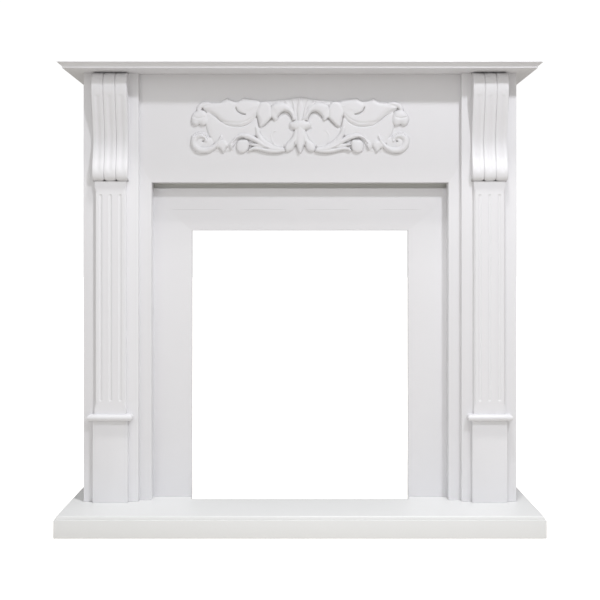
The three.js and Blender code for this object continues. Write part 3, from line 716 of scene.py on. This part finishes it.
@dataclass
class Pilaster:
    """One fluted pilaster on its leg board: plinth block, astragal, shaft and console.

    The fine columns of points over a flute reach flute_columns of its width to both sides.
    """

    side: Side
    ease: float = 1.0 * MM
    flute_count: int = 3
    flute_width: float = 8.5 * MM
    flute_depth: float = 1.6 * MM
    flute_pitch: float = 25 * MM
    flute_end_margin: float = 33 * MM
    flute_softness: float = 0.12 * MM
    flute_columns: float = 0.62
    plain_margin: float = 60 * MM
    chamfer: float = 4 * MM
    chamfer_margin: float = 12 * MM
    chamfer_runout: float = 15 * MM
    astragal_corner: float = 0.8 * MM

    @property
    def flutes(self) -> np.ndarray:
        """The middles of the flutes, from the middle of the shaft."""
        return (np.arange(self.flute_count) - (self.flute_count - 1) / 2) * self.flute_pitch

    def build(self, shop: Workshop) -> None:
        """Makes the four pieces inside the boxes of their solids."""
        word = self.side.word
        plinth = Box.of(f"plinth_block_{word}")
        block = facing_board(plinth.outline, plinth, self.ease)
        shop.make(f"plinth_{word}", block, Slot.BODY, f"plinth_block_{word}")
        shop.make(f"astragal_moulding_{word}", self.astragal(), Slot.BODY, f"astragal_{word}")
        shop.make(f"fluted_shaft_{word}", self.shaft(), Slot.BODY, f"pilaster_shaft_{word}")
        shop.make(f"ribbed_console_{word}", Console(self.side).shape(), Slot.CARVED, f"console_{word}")

    def astragal(self) -> Shape:
        """A half round carried round three sides: inset = r (1 - sin a) and Z = bottom + r (1 - cos a)."""
        box = Box.of(f"astragal_{self.side.word}")
        radius = box.height / 2
        angle = np.linspace(0, math.pi, 25)
        profile = np.stack([radius * (1 - np.sin(angle)), box.lo[2] + radius * (1 - np.cos(angle))], axis=1)
        return moulded_slab(profile, box, self.astragal_corner)

    def chamfer_width(self, z: np.ndarray, box: Box) -> np.ndarray:
        """The width of the edge chamfers at heights z, which runs out to nothing near the shaft's ends."""
        run = np.minimum(z - box.lo[2], box.hi[2] - z) - self.chamfer_margin
        return self.chamfer * np.clip(run / self.chamfer_runout, 0, 1)

    def carve(self, x: np.ndarray, z: np.ndarray, box: Box) -> np.ndarray:
        """How deep the shaft's front is cut at places x from its middle and at heights z.

        A flute is the reach of a cylinder of radius R with ball ends: sqrt(R^2 - x^2 - beyond^2) less
        (R - depth), where beyond is the distance past the end of its straight run. A chamfer is its width
        less the distance from the edge.

        Args:
            x: places across the shaft, from its middle.
            z: heights, one for each place.
            box: the box of the shaft.

        Returns:
            The depth of the cut at each place.
        """
        radius = (self.flute_width**2 / 4 + self.flute_depth**2) / (2 * self.flute_depth)
        margin = self.flute_end_margin + self.flute_width / 2
        beyond = np.maximum(margin - np.minimum(z - box.lo[2], box.hi[2] - z), 0)
        away = np.min(np.abs(x[..., None] - self.flutes), axis=-1)
        cut = np.sqrt(np.maximum(radius**2 - away**2 - beyond**2, 0)) - (radius - self.flute_depth)
        flute = self.flute_softness * np.logaddexp(0, cut / self.flute_softness)
        chamfer = self.chamfer_width(z, box) - (box.half_width - np.abs(x))
        return np.maximum(flute, chamfer)

    def shaft(self) -> Shape:
        """The shaft as level rings whose front points fall back by the depth of the cut."""
        box = Box.of(f"pilaster_shaft_{self.side.word}")
        half, low, high = box.half_width, box.lo[2], box.hi[2]
        fine = np.linspace(-self.flute_columns, self.flute_columns, 21) * self.flute_width
        across = [np.linspace(-half, -half + self.chamfer, 5), np.linspace(half - self.chamfer, half, 5)]
        across += [flute + fine for flute in self.flutes]
        x = np.unique(np.round(np.concatenate(across), 7))
        near_end = np.concatenate(
            [
                np.linspace(0, self.chamfer_margin, 3),
                self.chamfer_margin + np.linspace(0, self.chamfer_runout, 6),
                self.flute_end_margin + np.linspace(-1, 8, 19) * MM,
            ]
        )
        between = np.linspace(low + self.plain_margin, high - self.plain_margin, 12)
        z = np.unique(np.round(np.concatenate([low + near_end, between, high - near_end]), 7))
        grid_x, grid_z = np.meshgrid(x, z)
        front = box.lo[1] + self.carve(grid_x, grid_z, box)
        front[:, [0, -1]] = box.lo[1] + self.chamfer_width(z, box)[:, None]
        return loft(box.closed_behind(np.stack([grid_x + box.middle_x, front, grid_z], axis=-1)))


@dataclass
class Console:
    """A console: three rounded ribs side by side, swelling at the crown and the heel, thin at the waist.

    The shares are of the console's height from its foot. foot_growth and top_growth say how much rounder the
    ribs' edges get at each end, and within what share of the height. The upper notches are measured from the
    share notch_top, a little above the console's top.
    """

    side: Side
    rib_count: int = 3
    shaft_projection: float = 11 * MM
    top: float = 17 * MM
    crown: float = 33 * MM
    waist: float = 9 * MM
    heel: float = 22.5 * MM
    rib_round: float = 2.4 * MM
    foot_growth: Pair = (2.3, 0.022)
    top_growth: Pair = (1.9, 0.05)
    foot_undercut: float = 2 * MM
    top_undercut: float = 10 * MM
    channel: float = 1.4 * MM
    channel_half: float = 0.2
    channel_start: Pair = (0.06, 0.12)
    channel_end: Pair = (0.765, 0.79)
    notch_round: float = 10 * MM
    notch_depth: float = 9 * MM
    notch_edge: Pair = (1.0, 1.16)
    notch_top: float = 1.01
    least_projection: float = 0.5 * MM
    # The fall back from the crest at which a valley or notch gets its full painted shade
    full_shade_fall: float = 6.4 * MM

    def projection(self, share: np.ndarray) -> np.ndarray:
        """How far the ribs' crests stand off the leg board, by a smooth cubic through knots.

        Args:
            share: shares of the console's height, from its foot (0) to its top (1).

        Returns:
            The projection at each share.
        """
        foot, heel, waist, crown, top = self.shaft_projection, self.heel, self.waist, self.crown, self.top
        knots = [
            (0, foot - self.foot_undercut),
            (0.006, foot - 0.5 * self.foot_undercut),
            (0.014, foot + 0.5 * (heel - foot)),
            (0.045, foot + 0.93 * (heel - foot)),
            (0.11, heel),
            (0.23, heel + 0.6 * (waist - heel)),
            (0.37, waist),
            (0.5, waist + 0.2 * (crown - waist)),
            (0.66, waist + 0.66 * (crown - waist)),
            (0.8, waist + 0.97 * (crown - waist)),
            (0.86, crown),
            (0.93, top + 0.85 * (crown - top)),
            (0.978, top + 0.3 * (crown - top)),
            (1, top - self.top_undercut),
        ]
        places, values = np.array(knots).T
        before = np.maximum(np.arange(len(places)) - 1, 0)
        after = np.minimum(np.arange(len(places)) + 1, len(places) - 1)
        slope = (values[after] - values[before]) / (places[after] - places[before])
        index = np.clip(np.searchsorted(places, share, side="left") - 1, 0, len(places) - 2)
        span = places[index + 1] - places[index]
        t = (share - places[index]) / span
        return cubic_span(t, values[index], span * slope[index], values[index + 1], span * slope[index + 1])

    def rib_fall(self, across: np.ndarray, share: np.ndarray, to_edge: np.ndarray) -> np.ndarray:
        """How much a rib falls back from its crest: both its edges are rounded, and a channel runs down it.

        The edges are quarter rounds that grow towards the console's two ends. The channel's depth is its full
        depth times 1 - (distance / half width)^2.

        Args:
            across: places across a rib, from 0 to 1.
            share: shares of the console's height, one for each place.
            to_edge: distances to the rib's nearer edge.

        Returns:
            The fall at each place.
        """
        (foot_more, foot_reach), (top_more, top_reach) = self.foot_growth, self.top_growth
        growth = foot_more * np.exp(-share / foot_reach) + top_more * np.exp(-(1 - share) / top_reach)
        rounding = self.rib_round * (1 + growth)
        into = np.maximum(rounding - to_edge, 0)
        edge = rounding - np.sqrt(np.maximum(rounding**2 - into**2, 0))
        run = smooth_step(share, *self.channel_start) * (1 - smooth_step(share, *self.channel_end))
        channel = np.maximum(1 - ((across - 0.5) / self.channel_half) ** 2, 0)
        return edge + self.channel * run * channel

    def notch(self, to_edge: np.ndarray, to_end: np.ndarray) -> np.ndarray:
        """The notch at a rib's corners, as a soft mask: 1 outside a quarter round of the corner, 0 inside."""
        size = self.notch_round
        corner = np.hypot(np.maximum(size - to_edge, 0), np.maximum(size - to_end, 0)) / size
        return smooth_step(corner, *self.notch_edge)

    def shape(self) -> Shape:
        """The console as level rings: Y = leg board - projection(share) + fall(across, share)."""
        box = Box.of(f"console_{self.side.word}")
        rib_width = (box.hi[0] - box.lo[0]) / self.rib_count
        place = (1 - np.cos(np.linspace(0, math.pi, 21))) / 2
        across = np.concatenate([place[:-1]] * self.rib_count + [[1.0]])
        rib = np.append(np.repeat(np.arange(self.rib_count), len(place) - 1), self.rib_count - 1)
        runs = [(0, 0.04, 28), (0.04, 0.06, 6), (0.06, 0.76, 70), (0.76, 0.8, 14), (0.8, 1, 41)]
        share = np.unique(np.concatenate([np.linspace(*run) for run in runs]))
        grid_across, grid_share = np.meshgrid(across, share)
        to_edge = np.minimum(grid_across, 1 - grid_across) * rib_width
        to_end = np.minimum(grid_share, self.notch_top - grid_share) * box.height
        notch = self.notch_depth * self.notch(to_edge, to_end)
        fall = self.rib_fall(grid_across, grid_share, to_edge) + notch
        x = np.broadcast_to(box.lo[0] + (rib + across) * rib_width, fall.shape)
        y = box.hi[1] - np.maximum(self.projection(grid_share) - fall, self.least_projection)
        face = np.stack([x, y, box.lo[2] + grid_share * box.height], axis=-1)
        # Painted shade: the further a point falls back in a valley or notch, the darker the carved paint
        # makes it
        depth = np.clip(fall / self.full_shade_fall, 0, 1) ** 2
        hollow = np.concatenate([depth, np.zeros((len(share), 2))], axis=1)
        return loft(box.closed_behind(face), hollow)


# The carving

# In millimetres. A place is its distance out from the middle line and its height above the carving's lower
# edge, and its height in the field is how far it stands off the frieze.

SHEET_HALF_WIDTH = 283.5
SHEET_HEIGHT = 147.0

Place = Pair


def smooth_curve(points: tuple[Place, ...], tips: tuple[int, ...], closed: bool) -> np.ndarray:
    """A curve of cubic spans through points, with the slope at each from its neighbours and none at a tip.

    The slope at a point is half the way from the point before it to the point after it.

    Args:
        points: the places that it goes through.
        tips: the numbers of the points where it turns sharply.
        closed: whether it returns to its start.

    Returns:
        Rows of places along the curve, without a repeated end.
    """
    here = np.array(points, dtype=float)
    before, after = np.roll(here, 1, axis=0), np.roll(here, -1, axis=0)
    if not closed:
        before[0], after[-1] = here[0], here[-1]
    slope = (after - before) / 2
    slope[list(tips)] = 0
    start, end, next_slope = here, after, np.roll(slope, -1, axis=0)
    if not closed:
        start, end, slope, next_slope = start[:-1], end[:-1], slope[:-1], next_slope[:-1]
    t = np.linspace(0, 1, 12, endpoint=False)[:, None, None]
    whole = cubic_span(t, start, slope, end, next_slope).transpose(1, 0, 2).reshape(-1, 2)
    return whole if closed else np.concatenate([whole, here[-1:]])


def depth_inside(curve: np.ndarray, places: np.ndarray) -> np.ndarray:
    """How far inside a closed curve each place lies, and 0 outside.

    A place is inside when a level line from it crosses the curve an odd count of times, and its depth is its
    distance to the nearest stretch.

    Args:
        curve: rows of places along the curve.
        places: rows of places to measure.

    Returns:
        A depth for each place.
    """
    start, end = curve, np.roll(curve, -1, axis=0)
    along = end - start
    rise = np.where(along[:, 1] == 0, 1e-9, along[:, 1])
    level = places[:, 1:]
    crossing = start[:, 0] + (level - start[:, 1]) / rise * along[:, 0]
    passes = ((start[:, 1] > level) != (end[:, 1] > level)) & (places[:, :1] < crossing)
    within = np.sum(passes, axis=1) % 2 == 1
    offset = places[:, None, :] - start
    share = np.clip(np.sum(offset * along, axis=2) / np.maximum(np.sum(along**2, axis=1), 1e-9), 0, 1)
    nearest = np.min(np.linalg.norm(offset - share[..., None] * along, axis=2), axis=1)
    return np.where(within, nearest, 0)


def softened(heights: np.ndarray, reach: float) -> np.ndarray:
    """A grid of heights averaged along both its directions with the weight exp(-d^2 / (2 reach^2))."""
    steps = np.arange(-math.ceil(3 * reach), math.ceil(3 * reach) + 1)
    weight = np.exp(-(steps**2) / (2 * reach**2))
    weight /= weight.sum()
    for axis in (0, 1):
        rows = np.moveaxis(heights, axis, 0)
        padded = np.pad(rows, ((len(steps) // 2,) * 2, (0, 0)), mode="edge")
        rows = sum(part * padded[step : step + len(rows)] for step, part in enumerate(weight))
        heights = np.moveaxis(rows, 0, axis)
    return heights


@dataclass(frozen=True)
class Mass:
    """A rounded mass inside a smooth outline with sharp tips: edge high at the outline, and then rising."""

    outline: tuple[Place, ...]
    edge: float
    crest: float
    rounding: float
    tips: tuple[int, ...] = ()

    def heights(self, places: np.ndarray) -> np.ndarray:
        """Height = edge + crest sqrt(1 - (1 - depth / rounding)^2) inside the outline, and 0 outside."""
        curve = smooth_curve(self.outline, self.tips, True)
        near = np.all((places >= curve.min(axis=0)) & (places <= curve.max(axis=0)), axis=1)
        depth = depth_inside(curve, places[near])
        share = np.clip(depth / self.rounding, 0, 1)
        found = np.zeros(len(places))
        found[near] = np.where(depth > 0, self.edge + self.crest * np.sqrt(1 - (1 - share) ** 2), 0)
        return found


@dataclass(frozen=True)
class Strand:
    """A rounded strand along a smooth path, with its half widths at the start, the middle and the end.

    A groove is a strand as well. It fades out over the share end_fade of its path at both ends.
    """

    path: tuple[Place, ...]
    widths: Triple
    edge: float
    crest: float
    least_half_width: float = 0.3
    end_fade: float = 0.12

    def ratio(self, places: np.ndarray) -> tuple[np.ndarray, np.ndarray]:
        """The least distance to the path as a share of its half width there, and the place along it."""
        curve = smooth_curve(self.path, (), False)
        t = np.linspace(0, 1, len(curve))
        first, middle, last = self.widths
        width = first * (1 - t) * (1 - 2 * t) + 4 * middle * t * (1 - t) + last * t * (2 * t - 1)
        width = np.maximum(width, self.least_half_width)
        distance = np.linalg.norm(places[:, None, :] - curve, axis=2) / width
        nearest = np.argmin(distance, axis=1)
        return distance[np.arange(len(places)), nearest], t[nearest]

    def heights(self, places: np.ndarray) -> np.ndarray:
        """Height = edge + crest (1 - ratio^2.4) within the half width, and 0 outside."""
        ratio, _ = self.ratio(places)
        return np.where(ratio < 1, self.edge + self.crest * (1 - np.minimum(ratio, 1) ** 2.4), 0)

    def cut(self, places: np.ndarray) -> np.ndarray:
        """The depth of a groove along the path: crest exp(-ratio^2), which fades over both its ends."""
        ratio, share = self.ratio(places)
        fade = np.sqrt(np.clip(np.minimum(share, 1 - share) / self.end_fade, 0, 1))
        return self.crest * np.exp(-(ratio**2)) * fade


MASSES = {
    "scroll_body": Mass(((104, 58), (105, 80), (118, 98), (160, 92), (205, 100), (236, 112), (246, 92),
        (240, 58), (230, 38), (221, 22), (214, 9), (208, 15), (199, 2), (189, 17), (180, 9), (174, 26),
        (152, 44), (122, 42)), 2, 3.3, 18, tips=(10, 11, 12, 13, 14)),
    "top_field": Mass(((250, 112), (200, 90), (150, 76), (100, 96), (60, 104), (0, 104), (0, 141),
        (60, 138), (108, 134), (180, 134), (240, 128)), 1.2, 3.1, 12),
    "big_leaf": Mass(((252, 114), (236, 109), (222, 101), (205, 86), (182, 74), (154, 72), (131, 81),
        (112, 98), (100, 120), (108, 137), (149, 143), (165, 134), (191, 143), (206, 133), (232, 130),
        (250, 122)), 3, 5.7, 14, tips=(0, 7, 10, 12)),
    "leaf_curl": Mass(((166, 120), (160, 109), (147, 103), (128, 106), (100, 120), (118, 134), (144, 138),
        (161, 131)), 5.5, 4.1, 13, tips=(4,)),
    "drop": Mass(((112, 109), (109, 88), (104, 69), (93, 73), (81, 85), (74, 93), (74, 118), (85, 133),
        (102, 131)), 6.5, 4.5, 10, tips=(2, 5)),
    "small_drop": Mass(((76, 100), (71, 90), (64, 84), (56, 96), (60, 118), (72, 120)),
        6.5, 4, 7, tips=(2,)),
    "hook_leaf": Mass(((72, 112), (62, 98), (56, 97), (47, 106), (38, 108), (28, 101), (20, 85), (11, 87),
        (15, 107), (25, 122), (44, 131), (62, 130), (73, 122)), 6.5, 6, 13, tips=(6, 7)),
    "crest_field": Mass(((74, 118), (60, 137), (30, 141), (0, 143), (0, 84), (16, 88), (30, 110)),
        2.3, 3.9, 14),
    "knob": Mass(((261, 113), (275, 105), (282, 90), (279, 77), (270, 72), (261, 76), (250, 72), (240, 80),
        (241, 98), (247, 109)), 4, 7, 15, tips=(5,)),
    "side_petal": Mass(((12, 62), (21, 40), (35, 24), (40, 12), (34, 4), (23, 7), (15, 15), (8, 30),
        (4, 50)), 5.2, 5, 11),
    "boss": Mass(((0, 86), (14, 84.5), (25, 79), (28, 73), (24, 66), (13, 61), (0, 60), (-13, 61),
        (-24, 66), (-28, 73), (-25, 79), (-14, 84.5)), 3.9, 7.4, 13),
    "dish": Mass(((109, 60), (113, 84), (96, 72), (70, 90), (44, 106), (18, 90), (10, 60), (16, 29),
        (34, 12), (74, 14), (98, 34)), 1.7, 0.74, 6),
    "tip_floor": Mass(((224, 14), (214, 5), (200, 6), (186, 6), (174, 12), (184, 26), (214, 26)),
        0.9, 0.4, 6),
    "outer_tip": Mass(((214, 30), (216, 17), (209, 13), (204, 7), (198, 1), (193, 12), (188, 22),
        (196, 34)), 5, 4, 10, tips=(4,)),
    "inner_tip": Mass(((178, 32), (184, 22), (180, 9), (174, 18), (168, 30)), 5, 3.5, 8, tips=(2,)),
    "lobe": Mass(((149, 36), (135, 33), (133, 18), (137, 7), (149, 1), (161, 6), (165, 20), (160, 32)),
        5, 5, 15),
}

STRANDS = {
    "middle_petal": Strand(((0, 66), (0, 40), (0, 1)), (6, 13, 0.5), 6.2, 5.2),
    "crest_palm": Strand(((0, 86), (0, 116), (0, 144)), (5, 9, 1), 4.9, 4.6),
    "crest_rib": Strand(((9, 86), (12, 103), (15, 120), (19, 137)), (1.5, 4, 1.5), 4.9, 3.7),
    "crest_rib_outer": Strand(((12, 86), (18, 104), (27, 122), (38, 136)), (1.5, 6, 2), 4.2, 3.7),
    "stem_up": Strand(((41, 11), (59, 12), (79, 19), (96, 32), (108, 49), (113, 66)), (3, 7.5, 3), 5, 4),
    "stem_middle": Strand(((44, 9), (70, 10), (92, 15), (113, 21), (134, 24)), (2.5, 6, 1), 4.5, 3.2),
    "stem_low": Strand(((41, 7), (64, 5), (87, 8), (106, 13), (120, 13), (131, 8)), (3, 6, 2.5), 6.2, 3.6),
    "arch": Strand(((42, 9), (68, 11), (92, 20), (111, 33), (133, 43), (151, 45), (165, 38),
        (174, 25), (179, 10)), (2.5, 6.6, 0.8), 6, 4),
    "curl_line": Strand(((41, 20), (53, 19), (65, 23), (73, 34), (75, 47), (69, 57), (62, 58)),
        (1.4, 2.4, 1.4), 2.2, 1.2),
    "knob_hook": Strand(((228, 124), (241, 128), (254, 125), (262, 116), (261, 104)),
        (5, 6.5, 5), 4.2, 3.7),
    "volute": Strand(((204, 44), (214, 26), (228, 13), (246, 7.5), (263, 11), (274, 24),
        (273, 39), (262, 47), (250, 45), (243, 38), (243, 31)), (3, 9, 3), 4.6, 5.2),
    "volute_floor": Strand(((238, 28), (262, 28)), (14, 15, 12), 3.1, 2.3),
}

GROOVES = {
    "leaf_line": Strand(((240, 107), (222, 97), (205, 83), (185, 72), (154, 69.5), (131, 78),
        (112, 95)), (1.1, 1.6, 1.2), 0, 3.4),
    "petal_notch": Strand(((14, 30), (14.5, 18), (15, 8)), (0.8, 1.6, 1.6), 0, 5),
    "stem_notch": Strand(((43, 22), (41, 13), (38, 5)), (0.8, 1.6, 1.6), 0, 5),
    "boss_notch": Strand(((30, 66), (22, 60), (14, 59)), (1.2, 2, 1.2), 0, 5),
    "stem_gap": Strand(((134, 16), (118, 16.5), (98, 14), (80, 12)), (2.2, 1.6, 0.8), 0, 3.5),
    "drop_line": Strand(((113, 106), (111, 88), (104, 66), (92, 70.5), (80, 82), (73, 91)),
        (1, 1.4, 1), 0, 2.8),
    "arch_under": Strand(((176, 22), (167, 33), (154, 39.5), (142, 39)), (1.2, 2.6, 1), 0, 7),
    "leaf_roll": Strand(((240, 110), (222, 98), (205, 84), (180, 80), (152, 80), (130, 90),
        (113, 106)), (1.5, 2.2, 1.5), 0, 1.2),
    "curl_shadow": Strand(((167, 121), (162, 109), (149, 102), (140, 101)), (1.2, 2.2, 1), 0, 6),
    "crescent": Strand(((60, 91), (52, 99), (42, 106), (32, 105), (24, 96), (20, 86)), (1.8, 3, 1.4), 0, 9),
    "knob_fold": Strand(((277, 94), (262, 90), (246, 95)), (1.5, 2.6, 1.5), 0, 1.6),
    "volute_fold": Strand(((276, 43), (266, 50), (254, 49.5), (245, 43), (240, 34)),
        (1.2, 1.8, 1.4), 0, 4.5),
    "body_valley": Strand(((110, 96), (105, 82), (107, 66)), (3, 5, 3), 0, 2),
    "eye": Strand(((250, 115), (252, 114)), (2.6, 2.6, 2.6), 0, 9),
    "volute_eye": Strand(((250, 30), (253, 33)), (2.2, 2.2, 2.2), 0, 8),
}


@dataclass
class CarvedOrnament:
    """The acanthus carving on the frieze as one field of heights, its half drawn once and mirrored.

    The masses and strands are joined by taking the highest at each place, and the grooves are cut from them.
    A place is darkened by painted shade as far as its surroundings stand higher than it, between the
    hollow_drop limits, and as far as they stand high at all, between the hollow_height limits.
    """

    spacing: float = 0.95
    softness: float = 0.75
    rim: float = 0.3
    least_height: float = 0.15
    hollow_reach: float = 3.6
    hollow_drop: Pair = (0.8, 3.0)
    hollow_height: Pair = (2.0, 4.5)
    masses: dict[str, Mass] = field(default_factory=lambda: dict(MASSES))
    strands: dict[str, Strand] = field(default_factory=lambda: dict(STRANDS))
    grooves: dict[str, Strand] = field(default_factory=lambda: dict(GROOVES))

    def field_of_heights(self) -> tuple[np.ndarray, np.ndarray, np.ndarray]:
        """The heights of the half that lies out from the middle line, softened.

        Returns:
            The distances out, the heights above the lower edge, and the field over both.
        """
        out = np.linspace(0, SHEET_HALF_WIDTH, round(SHEET_HALF_WIDTH / self.spacing) + 1)
        up = np.linspace(0, SHEET_HEIGHT, round(SHEET_HEIGHT / self.spacing) + 1)
        places = np.stack(np.meshgrid(out, up), axis=-1).reshape(-1, 2)
        height = np.zeros(len(places))
        for part in [*self.masses.values(), *self.strands.values()]:
            height = np.maximum(height, part.heights(places))
        for groove in self.grooves.values():
            height = height - groove.cut(places) * (height > 0)
        height = np.maximum(height, 0).reshape(len(up), len(out))
        height[:, -1] = 0
        height[[0, -1]] = 0
        both = np.concatenate([height[:, :0:-1], height], axis=1)
        return out, up, softened(both, self.softness / self.spacing)

    @staticmethod
    def kept_cells(standing: np.ndarray) -> np.ndarray:
        """The cells of the lattice with a standing corner, and one more where two meet only at a corner."""
        kept = standing[:-1, :-1] | standing[1:, :-1] | standing[:-1, 1:] | standing[1:, 1:]
        falling = kept[:-1, 1:] & kept[1:, :-1] & ~kept[:-1, :-1] & ~kept[1:, 1:]
        rising = kept[:-1, :-1] & kept[1:, 1:] & ~kept[:-1, 1:] & ~kept[1:, :-1]
        kept[1:, 1:] |= falling
        kept[1:, :-1] |= rising
        return kept

    def painted_shade_depth(self, height: np.ndarray) -> np.ndarray:
        """How deep in a hollow each place of the field lies, from 0 to 1: the share of painted shade that the
        carved paint gives it.
        """
        around = softened(height, self.hollow_reach / self.spacing)
        least, most = self.hollow_drop
        drop = np.clip((around - height - least) / (most - least), 0, 1)
        return drop * smooth_step(around, *self.hollow_height)

    def shape(self, box: Box) -> Shape:
        """The carving as a sheet of cells where the field stands up, with a thin rim and a flat back.

        The cells' edges that only one cell has are the border. Walls go back from it, and the back is filled
        with triangles between its points, of which those over kept cells stay.

        Args:
            box: the box of the solid.

        Returns:
            The closed carving, facing outwards.
        """
        out, up, height = self.field_of_heights()
        standing = height > self.least_height
        height = np.where(standing, height, 0)
        kept = self.kept_cells(standing)
        x = np.concatenate([-out[:0:-1], out]) * (box.hi[0] / SHEET_HALF_WIDTH)
        z = box.lo[2] + up * (box.height / SHEET_HEIGHT)
        grid_x, grid_z = np.meshgrid(x, z)
        ids = np.arange(height.size).reshape(height.shape)
        quads = np.stack([ids[:-1, :-1], ids[:-1, 1:], ids[1:, 1:], ids[1:, :-1]], axis=-1)[kept]
        used, quads = np.unique(quads, return_inverse=True)
        quads = quads.reshape(-1, 4)
        level = np.minimum((height + self.rim) * MM, box.hi[1] - box.lo[1])
        front = np.stack([grid_x, box.hi[1] - level, grid_z], axis=-1).reshape(-1, 3)[used]
        start, end = quads, np.roll(quads, -1, axis=1)
        forward = (start * len(used) + end).reshape(-1)
        open_edge = ~np.isin(forward, (end * len(used) + start).reshape(-1))
        border = np.stack([start.reshape(-1), end.reshape(-1)], axis=1)[open_edge].tolist()
        loop = np.unique(border)
        behind = {number: place for place, number in enumerate(loop.tolist())}
        back = front[loop] * np.array([1.0, 0.0, 1.0]) + np.array([0.0, box.hi[1], 0.0])
        walls = [[b, a, len(used) + behind[a], len(used) + behind[b]] for a, b in border]
        flat = [Vector((float(px), float(pz))) for px, _, pz in back]
        sides = [(behind[a], behind[b]) for a, b in border]
        filled = np.array(delaunay_2d_cdt(flat, sides, [], 1, SAME_POINT)[2])
        middle = back[filled].mean(axis=1)
        column = np.clip(np.searchsorted(x, middle[:, 0]) - 1, 0, len(x) - 2)
        row = np.clip(np.searchsorted(z, middle[:, 2]) - 1, 0, len(z) - 2)
        backs = (len(used) + filled[kept[row, column]][:, ::-1]).tolist()
        # Painted shade on the front by how deep it lies in a hollow; none on the back
        hollow = np.append(self.painted_shade_depth(height).reshape(-1)[used], np.zeros(len(back)))
        return Shape(np.concatenate([front, back]), quads.tolist() + walls + backs, hollow, CARVED_EDGE_ANGLE)

    def build(self, shop: Workshop) -> None:
        """Makes the whole carving as one piece inside the box of its solid."""
        shop.make("acanthus_carving", self.shape(Box.of("carved_ornament")), Slot.CARVED, "carved_ornament")


# The studio


@dataclass(frozen=True)
class Lamp:
    """A square soft light: where it stands, its power in watts, its width and its colour."""

    place: Triple
    power: float
    size: float
    colour: Colour = (1.0, 1.0, 1.0)


@dataclass
class Studio:
    """A plain pale floor, four soft lights, an even surround and the camera of the photograph."""

    camera_distance: float = 2.6
    camera_height: float = 0.686
    focal_length: float = 59.3
    frame_shift: float = -0.0725
    surround: float = 0.49
    backdrop: float = 1.05
    aim: Triple = (0.0, 0.0, 0.75)
    floor_reach: float = 30.0
    floor_dark: Colour = (0.68, 0.65, 0.60)
    floor_light: Colour = (0.71, 0.68, 0.63)
    lights: dict[str, Lamp] = field(
        default_factory=lambda: {
            "key_light": Lamp((1.0, -1.85, 2.69), 31.0, 0.2, (0.95, 0.955, 1.0)),
            "top_light": Lamp((0.2, -0.9, 3.6), 42.0, 0.3),
            "middle_fill": Lamp((-2.0, -3.6, 2.4), 15.0, 2.0),
            "low_fill": Lamp((0.2, -3.8, 1.0), 8.0, 2.0),
        }
    )

    def hang(self, name: str, lamp: Lamp) -> None:
        """Adds a light aimed at the middle of the body."""
        data = bpy.data.lights.new(name, "AREA")
        data.energy = lamp.power
        data.size = lamp.size
        data.color = lamp.colour
        light = new_object(name, data)
        light.location = lamp.place
        way = Vector(self.aim) - Vector(lamp.place)
        light.rotation_euler = way.to_track_quat("-Z", "Y").to_euler()

    def floor(self) -> None:
        """A wide flat floor, pale grey to the light that falls on it and white to the camera."""
        mesh = bpy.data.meshes.new("studio_floor")
        reach = self.floor_reach
        corners = [(-reach, -reach, 0), (reach, -reach, 0), (reach, reach, 0), (-reach, reach, 0)]
        mesh.from_pydata(corners, [], [(0, 1, 2, 3)])
        ground = new_object("studio_floor", mesh)
        pale, desk, shader = new_material("pale_floor")
        colour = desk.mix(desk.noise(desk.place(), 2.0), self.floor_dark, self.floor_light)
        seen = desk.add("ShaderNodeLightPath").outputs["Is Camera Ray"]
        desk.fill(shader, {"Base Color": colour, "Roughness": 0.8, "Emission Strength": seen})
        shader.inputs["Emission Color"].default_value = (1, 1, 1, 1)
        mesh.materials.append(pale)

    def sky(self) -> None:
        """An even surround that lights softly and reads as white behind the object."""
        world = bpy.data.worlds.new("studio_surround")
        bpy.context.scene.world = world
        world.use_nodes = True
        tree = world.node_tree
        desk = NodeDesk(tree)
        lit = tree.nodes["Background"]
        desk.fill(lit, {"Color": (1, 1, 1, 1), "Strength": self.surround})
        white = {"Color": (1, 1, 1, 1), "Strength": self.backdrop}
        seen = desk.add("ShaderNodeBackground", {}, white)
        path = desk.add("ShaderNodeLightPath")
        parts = {0: path.outputs["Is Camera Ray"], 1: lit.outputs[0], 2: seen.outputs[0]}
        mix = desk.add("ShaderNodeMixShader", {}, parts)
        desk.fill(tree.nodes["World Output"], {"Surface": mix.outputs[0]})

    def camera(self) -> None:
        """A level camera with its frame shifted down, as in the photograph."""
        data = bpy.data.cameras.new("camera")
        data.lens = self.focal_length
        data.sensor_width = 36.0
        data.shift_y = self.frame_shift
        camera = new_object("camera", data)
        camera.location = (0.0, -self.camera_distance, self.camera_height)
        camera.rotation_euler = (math.pi / 2, 0.0, 0.0)
        bpy.context.scene.camera = camera

    def build(self) -> None:
        """Sets up the whole studio."""
        bpy.context.scene.view_settings.view_transform = "Standard"
        self.camera()
        self.floor()
        self.sky()
        for name, lamp in self.lights.items():
            self.hang(name, lamp)


def main() -> None:
    """Builds the studio and the mantelpiece from the floor up."""
    logging.basicConfig(level=logging.INFO, format="%(name)s: %(message)s")
    Studio().build()
    paints = Paints()
    paints.mix()
    shop = Workshop(paints)
    BaseSlab().build(shop)
    Boards().build(shop)
    for side in Side:
        Pilaster(side).build(shop)
    CarvedOrnament().build(shop)
    MantelShelf().build(shop)
    log.info("%d pieces", len(shop.pieces))


if __name__ == "__main__":
    main()
